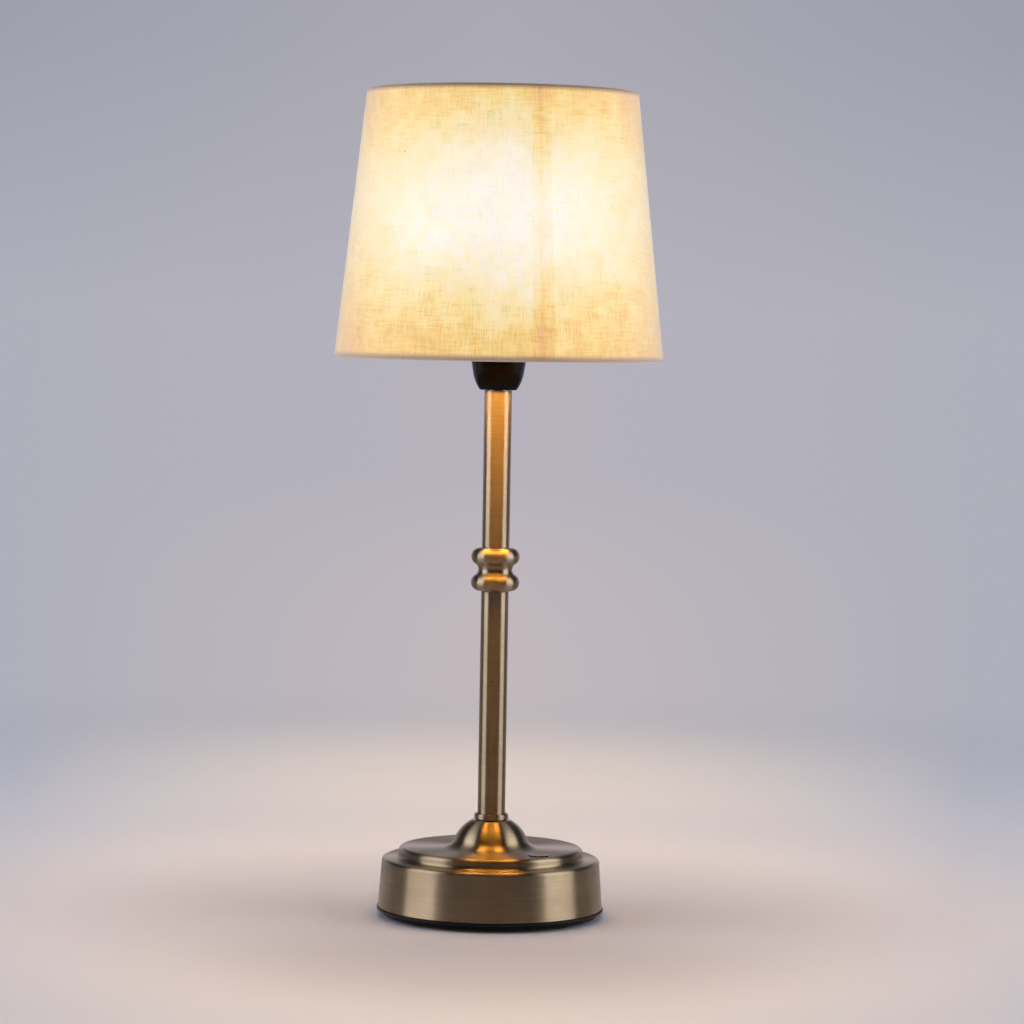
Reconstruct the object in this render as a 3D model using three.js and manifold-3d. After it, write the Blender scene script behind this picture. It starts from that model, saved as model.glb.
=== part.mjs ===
// Cordless table lamp: a weighted round base with a battery bay and a push button, a stem of two tubes
// with a turned double bead between them, a small screw lamp holder, and a tapered linen shade.
// Millimetres, +Z up. The origin is the centre of the base, on the surface that the lamp stands on.
// The lamp faces -Y: the push button is on that side, to the right.
import * as THREE from "three";
import { mergeVertices } from "three/addons/utils/BufferGeometryUtils.js";
import Module from "manifold-3d";

const wasm = await Module();
wasm.setup();

// Fits and facets
const clearance = 0.3; // air between pieces that touch, slide or turn on each other
const overcut = 1; // how far a cutting shape runs past the face that it cuts
const weldDistance = 1e-3; // vertices closer than this are one
const trayFacets = 80; // round the tray, whose lip shows below the cover
const largeFacets = 40; // round the base and the shade
const mediumFacets = 24; // round the stem and the lamp holder
const smallFacets = 16; // round cells, nuts and the bulb
const tinyFacets = 10; // round screws and feet
const arcFacets = 4; // along a rounded edge

// Feet
const footProud = 0.8;
const footRecess = 0.8;
const footRadius = 4.5;
const footInset = 6.9; // from the tray's foot to the circle of the feet
const footCount = 4;

// Tray that closes the base from below
const trayFloor = 2.4;
const trayBottomInset = 1.9; // from the skirt's foot in to the tray's foot
const trayWaistInset = 1.0;
const trayEdgeRadius = 0.8;
const trayLip = 0.5; // how far the tray's lip stands out of the cover's skirt
const trayLipHeight = 0.9;
const trayHeight = 3.2; // underside to the top of the lip
const spigotHeight = 5;
const spigotWall = 1.6;

// Cells and their contacts
const cellCount = 3;
const cellRadius = 7.15;
const cellLength = 49.3; // the can, without its nub
const cellSpacing = 0.7; // air between two cells
const nubRadius = 2.7;
const nubLength = 1.2;
const springRoom = 5.8; // contact plate to the flat end of its cell
const springWire = 0.45; // radius of the wire
const springWideRadius = 4.6;
const springNarrowRadius = 3;
const springTurns = 3;
const plateThickness = 0.4;
const plateWidth = 10;
const plateHeight = 11;
const bayWall = 1.2;

// Door of the battery bay
const doorThickness = 2;
const hingePinRadius = 0.5;
const hingePinLength = 1.2;
const fingerNotchWidth = 14;
const fingerNotchReach = 3;
const fingerNotchDepth = 1.2;

// Iron disc and the nut that draws the stem down on it
const wiringRoom = 2.5; // bay roof to the lower end of the rod
const nutThickness = 3;
const nutAcrossFlats = 14;
const rodBelowNut = 0.5;
const washerThickness = 1;
const washerRadius = 9;
const weightThickness = 4;
const weightAir = 0.9; // disc to the wall of the cover's step

// Screws that hold the tray to the disc
const screwCircle = 36;
const screwAngles = [58, 122, 255];
const screwRadius = 1.45;
const screwHeadRadius = 2.8;
const screwHeadHeight = 1.8;
const screwHeadDepth = 0.4; // underside of the tray to the head
const screwTipRoom = 1; // disc's upper face to the screw's tip
const screwSlotWidth = 0.7;
const screwSlotLength = 3.6;
const screwSlotDepth = 0.8;
const bossWall = 1.45;

// Stepped cover with its bell
const shellWall = 1;
const skirtTopRadius = 50.2;
const skirtTaper = 1.6; // how much wider the skirt is at its foot
const skirtEdgeRadius = 1.6;
const stepHeight = 5;
const stepRadius = 42.4;
const stepFillet = 0.8;
const stepEdgeRadius = 2;
const flareFootRadius = 22.6;
const flareCurve = 6.4;
const flareSlope = 62; // degrees from level, where the flare meets the bell
const bellKink = 8; // degrees by which the bell starts steeper than the flare ends
const bellCurve = 16.7;
const bellTopRadius = 9;

// Push button, its spring, switch and board
const buttonRadius = 4.5;
const buttonProud = 0.5;
const buttonTravel = 0.5;
const buttonCircle = 35.2;
const buttonAngle = -51.5;
const buttonFlange = 0.9;
const buttonFlangeThickness = 1;
const buttonFlangeRoom = 1; // air round the flange in the disc
const buttonStemRadius = 1.6;
const buttonStemInSwitch = 0.6;
const buttonSpringWire = 0.3; // radius of the wire
const buttonSpringTurns = 3;
const switchSize = 8;
const switchHeight = 3.6;
const boardThickness = 1.6;
const boardWidth = 16;
const boardMargin = 1; // board past the switch, to the right
const boardReach = 6; // past the button's middle, to the front
const boardInset = 15.5; // past the button's middle, to the back
const boardRibWidth = 4; // rib of the tray under the switch

// Stem
const rodRadius = 5;
const rodBore = 3.6;
const collarRadius = 7.8;
const collarHeight = 2.8;
const collarEdgeRadius = 0.6;
const collarSeatDepth = 1.4;
const tubeRadius = 6.35;
const lowerTubeLength = 103.7;
const upperTubeLength = 72;
const knuckleHeight = 19.8;
const beadRadius = 11.18;
const beadHeight = 7.9;
const beadCurve = 3.93; // how far a bead's curve stands out of its root
const beadRootAngle = -65; // degrees on the bead's curve where the waist begins
const beadCrownAngle = 82; // degrees on the bead's curve where its flat end begins
const waistRadius = 7.85;

// Lamp holder, measured from the foot of its cup
const cupHeight = 19.3;
const cupWall = 1.7;
const cupFootRadius = 8.5;
const cupCurve = 17.8;
const cupCurveMiddle = 10.5; // height of the curve's middle above the foot
const cupTaper = 9; // degrees from upright
const cupRimRadius = 12.8;
const neckDepth = 8; // thread of the rod in the cup
const flangeRadius = 16;
const flangeThickness = 2;
const holderThreadRadius = 13.8;
const holderThreadHeight = 21.7;
const insertRadius = 7.8;
const insertWall = 0.5;
const spigotDepth = 4;
const coreThickness = 4;
const postRadius = 6;
const contactThickness = 0.8;
const contactWidth = 4;
const contactReach = 3; // past the holder's axis

// Bulb
const capRadius = 6.85;
const capLength = 20.4;
const capThreadPitch = 2.82;
const capThreadDepth = 0.7;
const bulbTipRadius = 2.4;
const bulbTipFlatRadius = 1.4;
const bulbTipHeight = 1.4;
const insulatorHeight = 2.6;
const collarConeHeight = 6.1;
const collarRimHeight = 1.5;
const bulbRadius = 12;
const bulbLength = 54; // glass, from the collar to the crown
const glassWall = 0.8;
const bulbStemFlare = 9; // height of the flared foot inside the glass
const bulbStemRadius = 2.2;
const bulbStemTipRadius = 1.3;
const bulbStemHeight = 38;

// Leads
const leadRadius = 0.7;
const leadSides = 5;
const lampLeadStep = 5; // length of a straight piece of the lead
const batteryLeadStep = 2;
const leadSpacing = 2.6;
const leadBend = 2.2;

// Ring nut and carrier of the shade
const ringNutHeight = 6;
const ringNutWall = 3.4;
const ringNutRibs = 24;
const ringNutRibDepth = 0.6;
const ringNutFlank = 0.1; // share of a rib's half pitch on either side of its face
const hubWidth = 4.9;
const hubThickness = 1.6;
const hubRise = 8; // hub's underside above the shade's lower rim
const armCount = 3;
const firstArmAngle = -90;
const armRadius = 1;

// Shade
const shadeHeight = 123;
const shadeBottomRadius = 75.5;
const shadeTopRadius = 62;
const linenThickness = 0.5;
const linerThickness = 0.5;
const hemHeight = 2.3; // outside
const hemReturn = 1.1; // inside, above the hem's floor
const shadeWire = 1.2; // radius of the wire
const wireSides = 6;
const seamAngle = -74.5;
const seamWidth = 10;
const seamThickness = 0.3;
const seamInset = 8; // rim to the end of the strip

// Heights that follow, from the surface that the lamp stands on
const trayZ = footProud;
const trayFloorTop = trayZ + trayFloor;
const trayLipTop = trayZ + trayHeight;
const doorTop = trayZ + doorThickness;
const cellZ = doorTop + clearance + cellRadius;
const bayCeiling = cellZ + cellRadius + clearance;
const bayTop = bayCeiling + bayWall;
const rodBottom = bayTop + wiringRoom;
const nutZ = rodBottom + rodBelowNut;
const washerZ = nutZ + nutThickness + clearance;
const weightZ = washerZ + washerThickness + clearance;
const weightTop = weightZ + weightThickness;
const shellUnderside = weightTop + clearance;
const baseTop = shellUnderside + shellWall;
const shoulderZ = baseTop - stepHeight;
const shellBottom = trayLipTop + clearance;
const bellTop = baseTop + bellRise();
const collarZ = bellTop + clearance;
const lowerTubeZ = collarZ + collarHeight - collarSeatDepth + clearance;
const knuckleZ = lowerTubeZ + lowerTubeLength + clearance;
const upperTubeZ = knuckleZ + knuckleHeight + clearance;
const holderZ = upperTubeZ + upperTubeLength + clearance;
const flangeZ = holderZ + cupHeight + clearance;
const hubZ = flangeZ + flangeThickness + clearance;
const ringNutZ = hubZ + hubThickness + clearance;
const shadeZ = hubZ - hubRise;
const coreZ = flangeZ - spigotDepth - clearance - coreThickness;
const postTop = flangeZ;
const contactZ = postTop + clearance;
const bulbZ = contactZ + contactThickness + clearance;

// Sizes that follow, seen from above
const cellPitch = 2 * cellRadius + cellSpacing;
const contactFace = (cellLength + nubLength + clearance + springRoom) / 2;
const bayHalfLength = contactFace + plateThickness + clearance;
const bayHalfWidth = (cellCount * cellPitch) / 2 + clearance;
const buttonX = buttonCircle * Math.cos(radians(buttonAngle));
const buttonY = buttonCircle * Math.sin(radians(buttonAngle));
const skirtBottomRadius = skirtTopRadius + skirtTaper;
const trayBottomRadius = skirtBottomRadius - trayBottomInset;
const trayWaistRadius = skirtBottomRadius - trayWaistInset;
const footCircle = trayBottomRadius - footInset;
const weightRadius = stepRadius - shellWall - weightAir;
const hubBore = holderThreadRadius + clearance;
const hubRadius = hubBore + hubWidth;
const shadeTaper = (shadeBottomRadius - shadeTopRadius) / shadeHeight;
const linerGap = linenThickness + clearance;
const wireInset = linerGap + linerThickness + clearance + shadeWire;
const hemInnerInset = wireInset + shadeWire + clearance;

const black = plastic(0x0c0b0b, 0.45);
const gloss = plastic(0x14100e, 0.15);
const brass = metal(0x8f7a5c, 0.34);
const steel = metal(0xb8b8ba, 0.4);
const tinned = metal(0xd0c8b4, 0.3);
const iron = metal(0x4b4a49, 0.7);
const rubber = plastic(0x1b1b1b, 0.9);
const cellCase = plastic(0x2f4a3a, 0.4);
const greenBoard = plastic(0x1f5a38, 0.6);
const redLead = plastic(0xa02a22, 0.6);
const blackLead = plastic(0x171717, 0.6);
const ceramic = plastic(0xe6e1d6, 0.5);
const linen = plastic(0xe9dcc6, 0.95);
const backing = plastic(0xf4efe4, 0.7);
const glass = new THREE.MeshStandardMaterial({
  color: 0xfff1d6,
  roughness: 0.1,
  transparent: true,
  opacity: 0.4,
});

function plastic(color, roughness) {
  return new THREE.MeshStandardMaterial({ color, roughness, metalness: 0 });
}

function metal(color, roughness) {
  return new THREE.MeshStandardMaterial({ color, roughness, metalness: 1 });
}

function radians(degrees) {
  return (degrees * Math.PI) / 180;
}

// A closed three.js geometry as a solid that can be joined and cut.
function toSolid(geometry) {
  const loose = geometry.index ? geometry.toNonIndexed() : geometry;
  const bare = new THREE.BufferGeometry().setAttribute("position", loose.getAttribute("position"));
  const merged = mergeVertices(bare, weldDistance);
  const corners = merged.index.array;
  const kept = [];
  for (let i = 0; i < corners.length; i += 3) {
    const [a, b, c] = corners.subarray(i, i + 3);
    if (a !== b && b !== c && c !== a) kept.push(a, b, c);
  }
  const mesh = new wasm.Mesh({
    numProp: 3,
    vertProperties: merged.attributes.position.array,
    triVerts: new Uint32Array(kept),
  });
  return new wasm.Manifold(mesh);
}

function toGeometry(solid) {
  const { vertProperties, triVerts } = solid.getMesh();
  const geometry = new THREE.BufferGeometry();
  geometry.setAttribute("position", new THREE.BufferAttribute(vertProperties, 3));
  geometry.setIndex(new THREE.BufferAttribute(triVerts, 1));
  geometry.computeVertexNormals();
  return geometry;
}

// A closed outline of [radius, height] points, turned about the Z axis.
function turned(outline, facets) {
  const points = outline.map(([r, z]) => new THREE.Vector2(r, z));
  if (THREE.ShapeUtils.area(points) < 0) points.reverse();
  points.push(points[0].clone());
  return toSolid(new THREE.LatheGeometry(points, facets).rotateX(Math.PI / 2));
}

function disc(radius, z, height, facets) {
  return turned([[0, z], [radius, z], [radius, z + height], [0, z + height]], facets);
}

function ring(inner, outer, z, height, facets) {
  return turned([[inner, z], [outer, z], [outer, z + height], [inner, z + height]], facets);
}

function block(low, high) {
  const size = high.map((value, i) => value - low[i]);
  const middle = high.map((value, i) => (value + low[i]) / 2);
  return toSolid(new THREE.BoxGeometry(...size).translate(...middle));
}

// Points of an arc of an ellipse, angles in degrees from the outward direction.
function arc(r, z, acrossRadius, uprightRadius, from, to, steps) {
  return Array.from({ length: steps + 1 }, (_, i) => {
    const angle = radians(from + ((to - from) * i) / steps);
    return [r + acrossRadius * Math.cos(angle), z + uprightRadius * Math.sin(angle)];
  });
}

function roundArc(r, z, radius, from, to, steps) {
  return arc(r, z, radius, radius, from, to, steps);
}

// A round tube without a bore, along a curve.
function strand(curve, radius, sides, steps) {
  const section = Array.from({ length: sides }, (_, i) => {
    const angle = (2 * Math.PI * i) / sides;
    return new THREE.Vector2(radius * Math.cos(angle), radius * Math.sin(angle));
  });
  const shape = new THREE.Shape(section);
  return toSolid(new THREE.ExtrudeGeometry(shape, { steps, extrudePath: curve, bevelEnabled: false }));
}

// A coil about its own Z axis that narrows from one radius to another.
class Coil extends THREE.Curve {
  constructor(fromRadius, toRadius, height, turns) {
    super();
    Object.assign(this, { fromRadius, toRadius, height, turns });
  }

  getPoint(t, target = new THREE.Vector3()) {
    const angle = 2 * Math.PI * this.turns * t;
    const radius = THREE.MathUtils.lerp(this.fromRadius, this.toRadius, t);
    return target.set(radius * Math.cos(angle), radius * Math.sin(angle), this.height * t);
  }
}

const coilSteps = 8; // for each turn
const coilSides = 5;

// A coil spring of the given outer length, and the least air between its turns, printed.
function coilSpring(name, fromRadius, toRadius, length, turns, wire) {
  const curve = new Coil(fromRadius, toRadius, length - 2 * wire, turns);
  const points = curve.getPoints(turns * coilSteps);
  let least = Infinity;
  points.forEach((point, i) => {
    points.slice(i + coilSteps / 2 + 1).forEach((other) => {
      least = Math.min(least, point.distanceTo(other) - 2 * wire);
    });
  });
  console.log(name + " least gap " + least.toFixed(2) + " mm");
  return strand(curve, wire, coilSides, turns * coilSteps).translate([0, 0, wire]);
}

function part(name, solid, material) {
  const mesh = new THREE.Mesh(toGeometry(solid), material);
  mesh.name = name;
  return mesh;
}

function group(z, ...parts) {
  const made = new THREE.Group();
  made.position.z = z;
  if (parts.length) made.add(...parts);
  return made;
}

// Feet: round pads pressed into recesses of the tray.
function footPlaces() {
  return Array.from({ length: footCount }, (_, i) => {
    const angle = radians(((i + 0.5) * 360) / footCount);
    return [footCircle * Math.cos(angle), footCircle * Math.sin(angle)];
  });
}

function feet() {
  const height = footProud + footRecess - clearance;
  return footPlaces().map(([x, y], i) => {
    const pad = disc(footRadius, 0, height, tinyFacets);
    return part("foot_" + (i + 1), pad.translate([x, y, 0]), rubber);
  });
}

function screwPlaces() {
  return screwAngles.map((angle) => {
    const turn = radians(angle);
    return [screwCircle * Math.cos(turn), screwCircle * Math.sin(turn)];
  });
}

// Radius inside the skirt at a height.
function skirtInside(z) {
  const share = (z - shellBottom) / (shoulderZ - skirtEdgeRadius - shellBottom);
  return THREE.MathUtils.lerp(skirtBottomRadius, skirtTopRadius, share) - shellWall;
}

// Tray: floor with a lip and a spigot, the battery bay with its roof, and the screw bosses.
function baseTray() {
  const spigotTop = trayLipTop + spigotHeight;
  const spigotOuter = skirtInside(spigotTop) - clearance;
  const lipRadius = skirtBottomRadius + trayLip;
  const edgeMiddle = trayBottomRadius - trayEdgeRadius;
  let tray = turned(
    [
      [0, trayZ],
      ...roundArc(edgeMiddle, trayZ + trayEdgeRadius, trayEdgeRadius, -90, 0, arcFacets / 2),
      [trayWaistRadius, trayLipTop - trayLipHeight],
      [lipRadius, trayLipTop - trayLipHeight],
      [lipRadius, trayLipTop],
      [spigotOuter, trayLipTop],
      [spigotOuter, spigotTop],
      [spigotOuter - spigotWall, spigotTop],
      [spigotOuter - spigotWall, trayFloorTop],
      [0, trayFloorTop],
    ],
    trayFacets,
  );
  const outerX = bayHalfLength + bayWall;
  const outerY = bayHalfWidth + bayWall;
  const middleZ = trayZ + trayFloor / 2;
  tray = tray.add(block([-outerX, -outerY, middleZ], [outerX, outerY, bayTop]));
  const ribX = buttonX - boardRibWidth / 2;
  const ribY = buttonY - switchSize / 2;
  tray = tray.add(block([ribX, ribY, middleZ], [ribX + boardRibWidth, -bayHalfWidth - bayWall / 2, bayTop]));
  const bossTop = weightZ - clearance;
  const headTop = trayZ + screwHeadDepth + screwHeadHeight;
  const holeRadius = screwRadius + clearance;
  const headHole = screwHeadRadius + clearance;
  for (const [x, y] of screwPlaces()) {
    const foot = disc(headHole + bossWall, middleZ, headTop + 2 * bossWall - middleZ, smallFacets);
    const boss = disc(holeRadius + bossWall, middleZ, bossTop - middleZ, smallFacets);
    tray = tray.add(foot.add(boss).translate([x, y, 0]));
  }
  for (const [x, y] of screwPlaces()) {
    const hole = disc(holeRadius, trayZ - overcut, bossTop - trayZ + 2 * overcut, tinyFacets);
    const head = disc(headHole, trayZ - overcut, overcut + headTop + clearance - trayZ, smallFacets);
    tray = tray.subtract(hole.add(head).translate([x, y, 0]));
  }
  for (const [x, y] of footPlaces()) {
    const recess = disc(footRadius + clearance, trayZ - overcut, overcut + footRecess, tinyFacets);
    tray = tray.subtract(recess.translate([x, y, 0]));
  }
  const bay = block(
    [-bayHalfLength, -bayHalfWidth, trayZ - overcut],
    [bayHalfLength, bayHalfWidth, bayCeiling],
  );
  tray = tray.subtract(bay).subtract(doorCuts());
  for (const [x, y] of [plusTerminal(), minusTerminal()]) {
    const hole = disc(leadRadius + clearance, cellZ, bayTop + overcut - cellZ, tinyFacets);
    tray = tray.subtract(hole.translate([x, y, 0]));
  }
  return part("base_housing", tray, black);
}

// Sockets for the door's pins and the notch for a finger.
function doorCuts() {
  const reach = hingePinLength + clearance;
  const room = hingePinRadius + clearance;
  const [hingeX, hingeZ] = doorHinge();
  const sockets = [-1, 1].map((side) => {
    const near = side * (bayHalfWidth - clearance);
    const far = side * (bayHalfWidth + reach);
    const low = [hingeX - room, Math.min(near, far), hingeZ - room];
    return block(low, [hingeX + room, Math.max(near, far), hingeZ + room]);
  });
  const notch = block(
    [bayHalfLength - overcut, -fingerNotchWidth / 2, trayZ - overcut],
    [bayHalfLength + fingerNotchReach, fingerNotchWidth / 2, trayZ + fingerNotchDepth],
  );
  return sockets[0].add(sockets[1]).add(notch);
}

// Axis of the door's pins, which run along Y: [x, z].
function doorHinge() {
  return [-bayHalfLength + clearance + doorThickness / 2, trayZ + doorThickness / 2];
}

// Door: a flat plate with one rounded edge, which turns on two pins.
function batteryDoor() {
  const [hingeX, hingeZ] = doorHinge();
  const halfWidth = bayHalfWidth - clearance;
  const plate = block(
    [hingeX, -halfWidth, trayZ],
    [bayHalfLength - clearance, halfWidth, doorTop],
  );
  const edge = acrossRod(doorThickness / 2, 2 * halfWidth, smallFacets);
  const pins = acrossRod(hingePinRadius, 2 * (halfWidth + hingePinLength), tinyFacets);
  const turning = edge.add(pins).translate([hingeX, 0, hingeZ]);
  return part("battery_door", plate.add(turning), black);
}

// A rod along Y, centred on the origin.
function acrossRod(radius, length, facets) {
  return disc(radius, -length / 2, length, facets).rotate([90, 0, 0]);
}

// Cells lie along X side by side, with their nubs in turn to the right and to the left.
function cellSide(i) {
  return i % 2 ? -1 : 1;
}

function cellY(i) {
  return (i - (cellCount - 1) / 2) * cellPitch;
}

function cells() {
  return Array.from({ length: cellCount }, (_, i) => {
    const tip = contactFace - clearance;
    const canEnd = tip - nubLength;
    const can = turned(
      [
        [0, canEnd - cellLength],
        [cellRadius, canEnd - cellLength],
        [cellRadius, canEnd],
        [nubRadius, canEnd],
        [nubRadius, tip],
        [0, tip],
      ],
      smallFacets,
    );
    const lying = can.rotate([0, 90 * cellSide(i), 0]).translate([0, cellY(i), cellZ]);
    return part("battery_" + (i + 1), lying, cellCase);
  });
}

function cellSprings() {
  return Array.from({ length: cellCount }, (_, i) => {
    const name = "battery_spring_" + (i + 1);
    const length = springRoom - 2 * clearance;
    const coil = coilSpring(name, springWideRadius, springNarrowRadius, length, springTurns, springWire);
    const standing = coil.rotate([0, 90 * cellSide(i), 0]);
    const start = cellSide(i) * (clearance - contactFace);
    return part(name, standing.translate([start, cellY(i), cellZ]), steel);
  });
}

function contactPlate(name, side, firstCell, lastCell) {
  const inner = side * contactFace;
  const outer = side * (contactFace + plateThickness);
  const low = [Math.min(inner, outer), cellY(firstCell) - plateWidth / 2, cellZ - plateHeight / 2];
  const high = [Math.max(inner, outer), cellY(lastCell) + plateWidth / 2, cellZ + plateHeight / 2];
  return part(name, block(low, high), steel);
}

function contactPlates() {
  const last = cellCount - 1;
  const links = Array.from({ length: last }, (_, i) => {
    return contactPlate("contact_link_" + (i + 1), -cellSide(i), i, i + 1);
  });
  return [
    contactPlate("contact_plus", cellSide(0), 0, 0),
    ...links,
    contactPlate("contact_minus", -cellSide(last), last, last),
  ];
}

function plusTerminal() {
  return [cellSide(0) * (contactFace + plateThickness / 2), cellY(0)];
}

function minusTerminal() {
  const last = cellCount - 1;
  return [-cellSide(last) * (contactFace + plateThickness / 2), cellY(last)];
}

// Iron disc, with room for the switch and holes for the screws.
function baseWeight() {
  let plate = ring(rodRadius + clearance, weightRadius, weightZ, weightThickness, largeFacets);
  const through = weightThickness + 2 * overcut;
  const notch = disc(buttonRadius + buttonFlange + buttonFlangeRoom, weightZ - overcut, through, smallFacets);
  plate = plate.subtract(notch.translate([buttonX, buttonY, 0]));
  for (const [x, y] of screwPlaces()) {
    const hole = disc(screwRadius + clearance, weightZ - overcut, through, tinyFacets);
    plate = plate.subtract(hole.translate([x, y, 0]));
  }
  return part("base_weight", plate, iron);
}

function screws() {
  const headZ = trayZ + screwHeadDepth;
  const tip = weightTop - screwTipRoom;
  return screwPlaces().map(([x, y], i) => {
    const shank = disc(screwRadius, headZ, tip - headZ, tinyFacets);
    const head = disc(screwHeadRadius, headZ, screwHeadHeight, smallFacets);
    const slot = block(
      [-screwSlotLength / 2, -screwSlotWidth / 2, headZ - overcut],
      [screwSlotLength / 2, screwSlotWidth / 2, headZ + screwSlotDepth],
    );
    const cross = slot.add(slot.rotate([0, 0, 90]));
    return part("base_screw_" + (i + 1), shank.add(head).subtract(cross).translate([x, y, 0]), steel);
  });
}

// Height of the bell above the base's top plane.
function bellRise() {
  const [startR, startZ] = flareEnd(0);
  const middle = bellMiddle(startR, startZ);
  const across = bellTopRadius - middle[0];
  return middle[1] + Math.sqrt(bellCurve ** 2 - across ** 2);
}

// Where the flare meets the bell, for a flare whose foot is at height z.
function flareEnd(z) {
  const turn = radians(270 - flareSlope);
  return [flareFootRadius + flareCurve * Math.cos(turn), z + flareCurve + flareCurve * Math.sin(turn)];
}

// Middle of the bell's curve, so that the bell runs on from the flare almost without a kink.
function bellMiddle(startR, startZ) {
  const turn = radians(90 - flareSlope - bellKink);
  return [startR - bellCurve * Math.cos(turn), startZ - bellCurve * Math.sin(turn)];
}

// Half outline of the cover, from the skirt's lower edge up to the hole for the rod. An inset moves it in.
function shellLine(inset, steps) {
  const [bellStartR, bellStartZ] = flareEnd(baseTop);
  const [bellR, bellZ] = bellMiddle(bellStartR, bellStartZ);
  const startAngle = THREE.MathUtils.radToDeg(Math.atan2(bellStartZ - bellZ, bellStartR - bellR));
  const endAngle = THREE.MathUtils.radToDeg(Math.acos((bellTopRadius - bellR) / bellCurve));
  const edgeR = skirtTopRadius - skirtEdgeRadius;
  const stepR = stepRadius - stepEdgeRadius;
  return [
    [skirtBottomRadius - inset, shellBottom],
    ...roundArc(edgeR, shoulderZ - skirtEdgeRadius, skirtEdgeRadius - inset, 0, 90, steps),
    ...roundArc(stepRadius + stepFillet, shoulderZ + stepFillet, stepFillet + inset, 270, 180, steps / 2),
    ...roundArc(stepR, baseTop - stepEdgeRadius, stepEdgeRadius - inset, 0, 90, steps),
    ...roundArc(flareFootRadius, baseTop + flareCurve, flareCurve + inset, 270, 270 - flareSlope, steps),
    ...roundArc(bellR, bellZ, bellCurve - inset, startAngle, endAngle, steps).slice(1),
    [rodRadius + clearance, bellTop - inset],
  ];
}

function baseShell() {
  const outline = [...shellLine(0, arcFacets), ...shellLine(shellWall, arcFacets - 2).reverse()];
  const hole = disc(buttonRadius + clearance, shellUnderside - overcut, shellWall + 2 * overcut, smallFacets);
  const cover = turned(outline, largeFacets).subtract(hole.translate([buttonX, buttonY, 0]));
  return part("base_shell", cover, brass);
}

// Button, switch and board share one upright axis.
const boardZ = bayTop + clearance;
const switchZ = boardZ + boardThickness + clearance;
const switchTop = switchZ + switchHeight;
const buttonFlangeTop = shellUnderside - clearance;
const buttonFlangeZ = buttonFlangeTop - buttonFlangeThickness;
const buttonStemBottom = switchTop - buttonStemInSwitch;
const boardRightX = buttonX + switchSize / 2 + boardMargin;
const boardLeftX = boardRightX - boardWidth;
const boardBackY = buttonY + boardInset;

function buttonParts() {
  const top = baseTop + buttonProud;
  const cap = turned(
    [
      [0, buttonStemBottom],
      [buttonStemRadius, buttonStemBottom],
      [buttonStemRadius, buttonFlangeZ],
      [buttonRadius + buttonFlange, buttonFlangeZ],
      [buttonRadius + buttonFlange, buttonFlangeTop],
      [buttonRadius, buttonFlangeTop],
      [buttonRadius, top - buttonProud / 2],
      [buttonRadius - buttonProud / 2, top],
      [0, top],
    ],
    smallFacets,
  );
  const wellRadius = buttonStemRadius + clearance;
  const wellBottom = buttonStemBottom - buttonTravel - clearance;
  const half = switchSize / 2;
  const well = disc(wellRadius, wellBottom, switchTop + overcut - wellBottom, smallFacets);
  const housing = block([-half, -half, switchZ], [half, half, switchTop]).subtract(well);
  const springZ = switchTop + clearance;
  const springRadius = wellRadius + buttonSpringWire + clearance;
  const length = buttonFlangeZ - clearance - springZ;
  const coil = coilSpring(
    "button_spring", springRadius, springRadius, length, buttonSpringTurns, buttonSpringWire,
  );
  const place = [buttonX, buttonY, 0];
  return [
    part("button_cap", cap.translate(place), brass),
    part("switch_body", housing.translate(place), black),
    part("button_spring", coil.translate([buttonX, buttonY, springZ]), steel),
  ];
}

function circuitBoard() {
  const low = [boardLeftX, buttonY - boardReach, boardZ];
  let board = block(low, [boardRightX, boardBackY, boardZ + boardThickness]);
  for (const [x, y] of screwPlaces()) {
    const room = screwRadius + bossWall + 2 * clearance;
    const hole = disc(room, boardZ - overcut, boardThickness + 2 * overcut, smallFacets);
    board = board.subtract(hole.translate([x, y, 0]));
  }
  return part("circuit_board", board, greenBoard);
}

// Rod with its nut and washer under the disc.
function rodParts() {
  const rodTop = holderZ + neckDepth;
  const rod = ring(rodBore, rodRadius, rodBottom, rodTop - rodBottom, smallFacets);
  const washer = ring(rodRadius + clearance, washerRadius, washerZ, washerThickness, smallFacets);
  const hexagon = disc(nutAcrossFlats / Math.sqrt(3), nutZ, nutThickness, 6);
  const bore = disc(rodRadius + clearance, nutZ - overcut, nutThickness + 2 * overcut, smallFacets);
  return [
    part("stem_rod", rod, steel),
    part("rod_washer", washer, steel),
    part("rod_nut", hexagon.subtract(bore), steel),
  ];
}

function stemCollar() {
  const bore = rodRadius + clearance;
  const seat = tubeRadius + clearance;
  const top = collarHeight;
  const edgeMiddle = collarRadius - collarEdgeRadius;
  const outline = [
    [bore, 0],
    ...roundArc(edgeMiddle, collarEdgeRadius, collarEdgeRadius, -90, 0, arcFacets / 2),
    ...roundArc(edgeMiddle, top - collarEdgeRadius, collarEdgeRadius, 0, 90, arcFacets / 2),
    [seat, top],
    [seat, top - collarSeatDepth],
    [bore, top - collarSeatDepth],
  ];
  return part("stem_collar", turned(outline, mediumFacets), brass);
}

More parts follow.
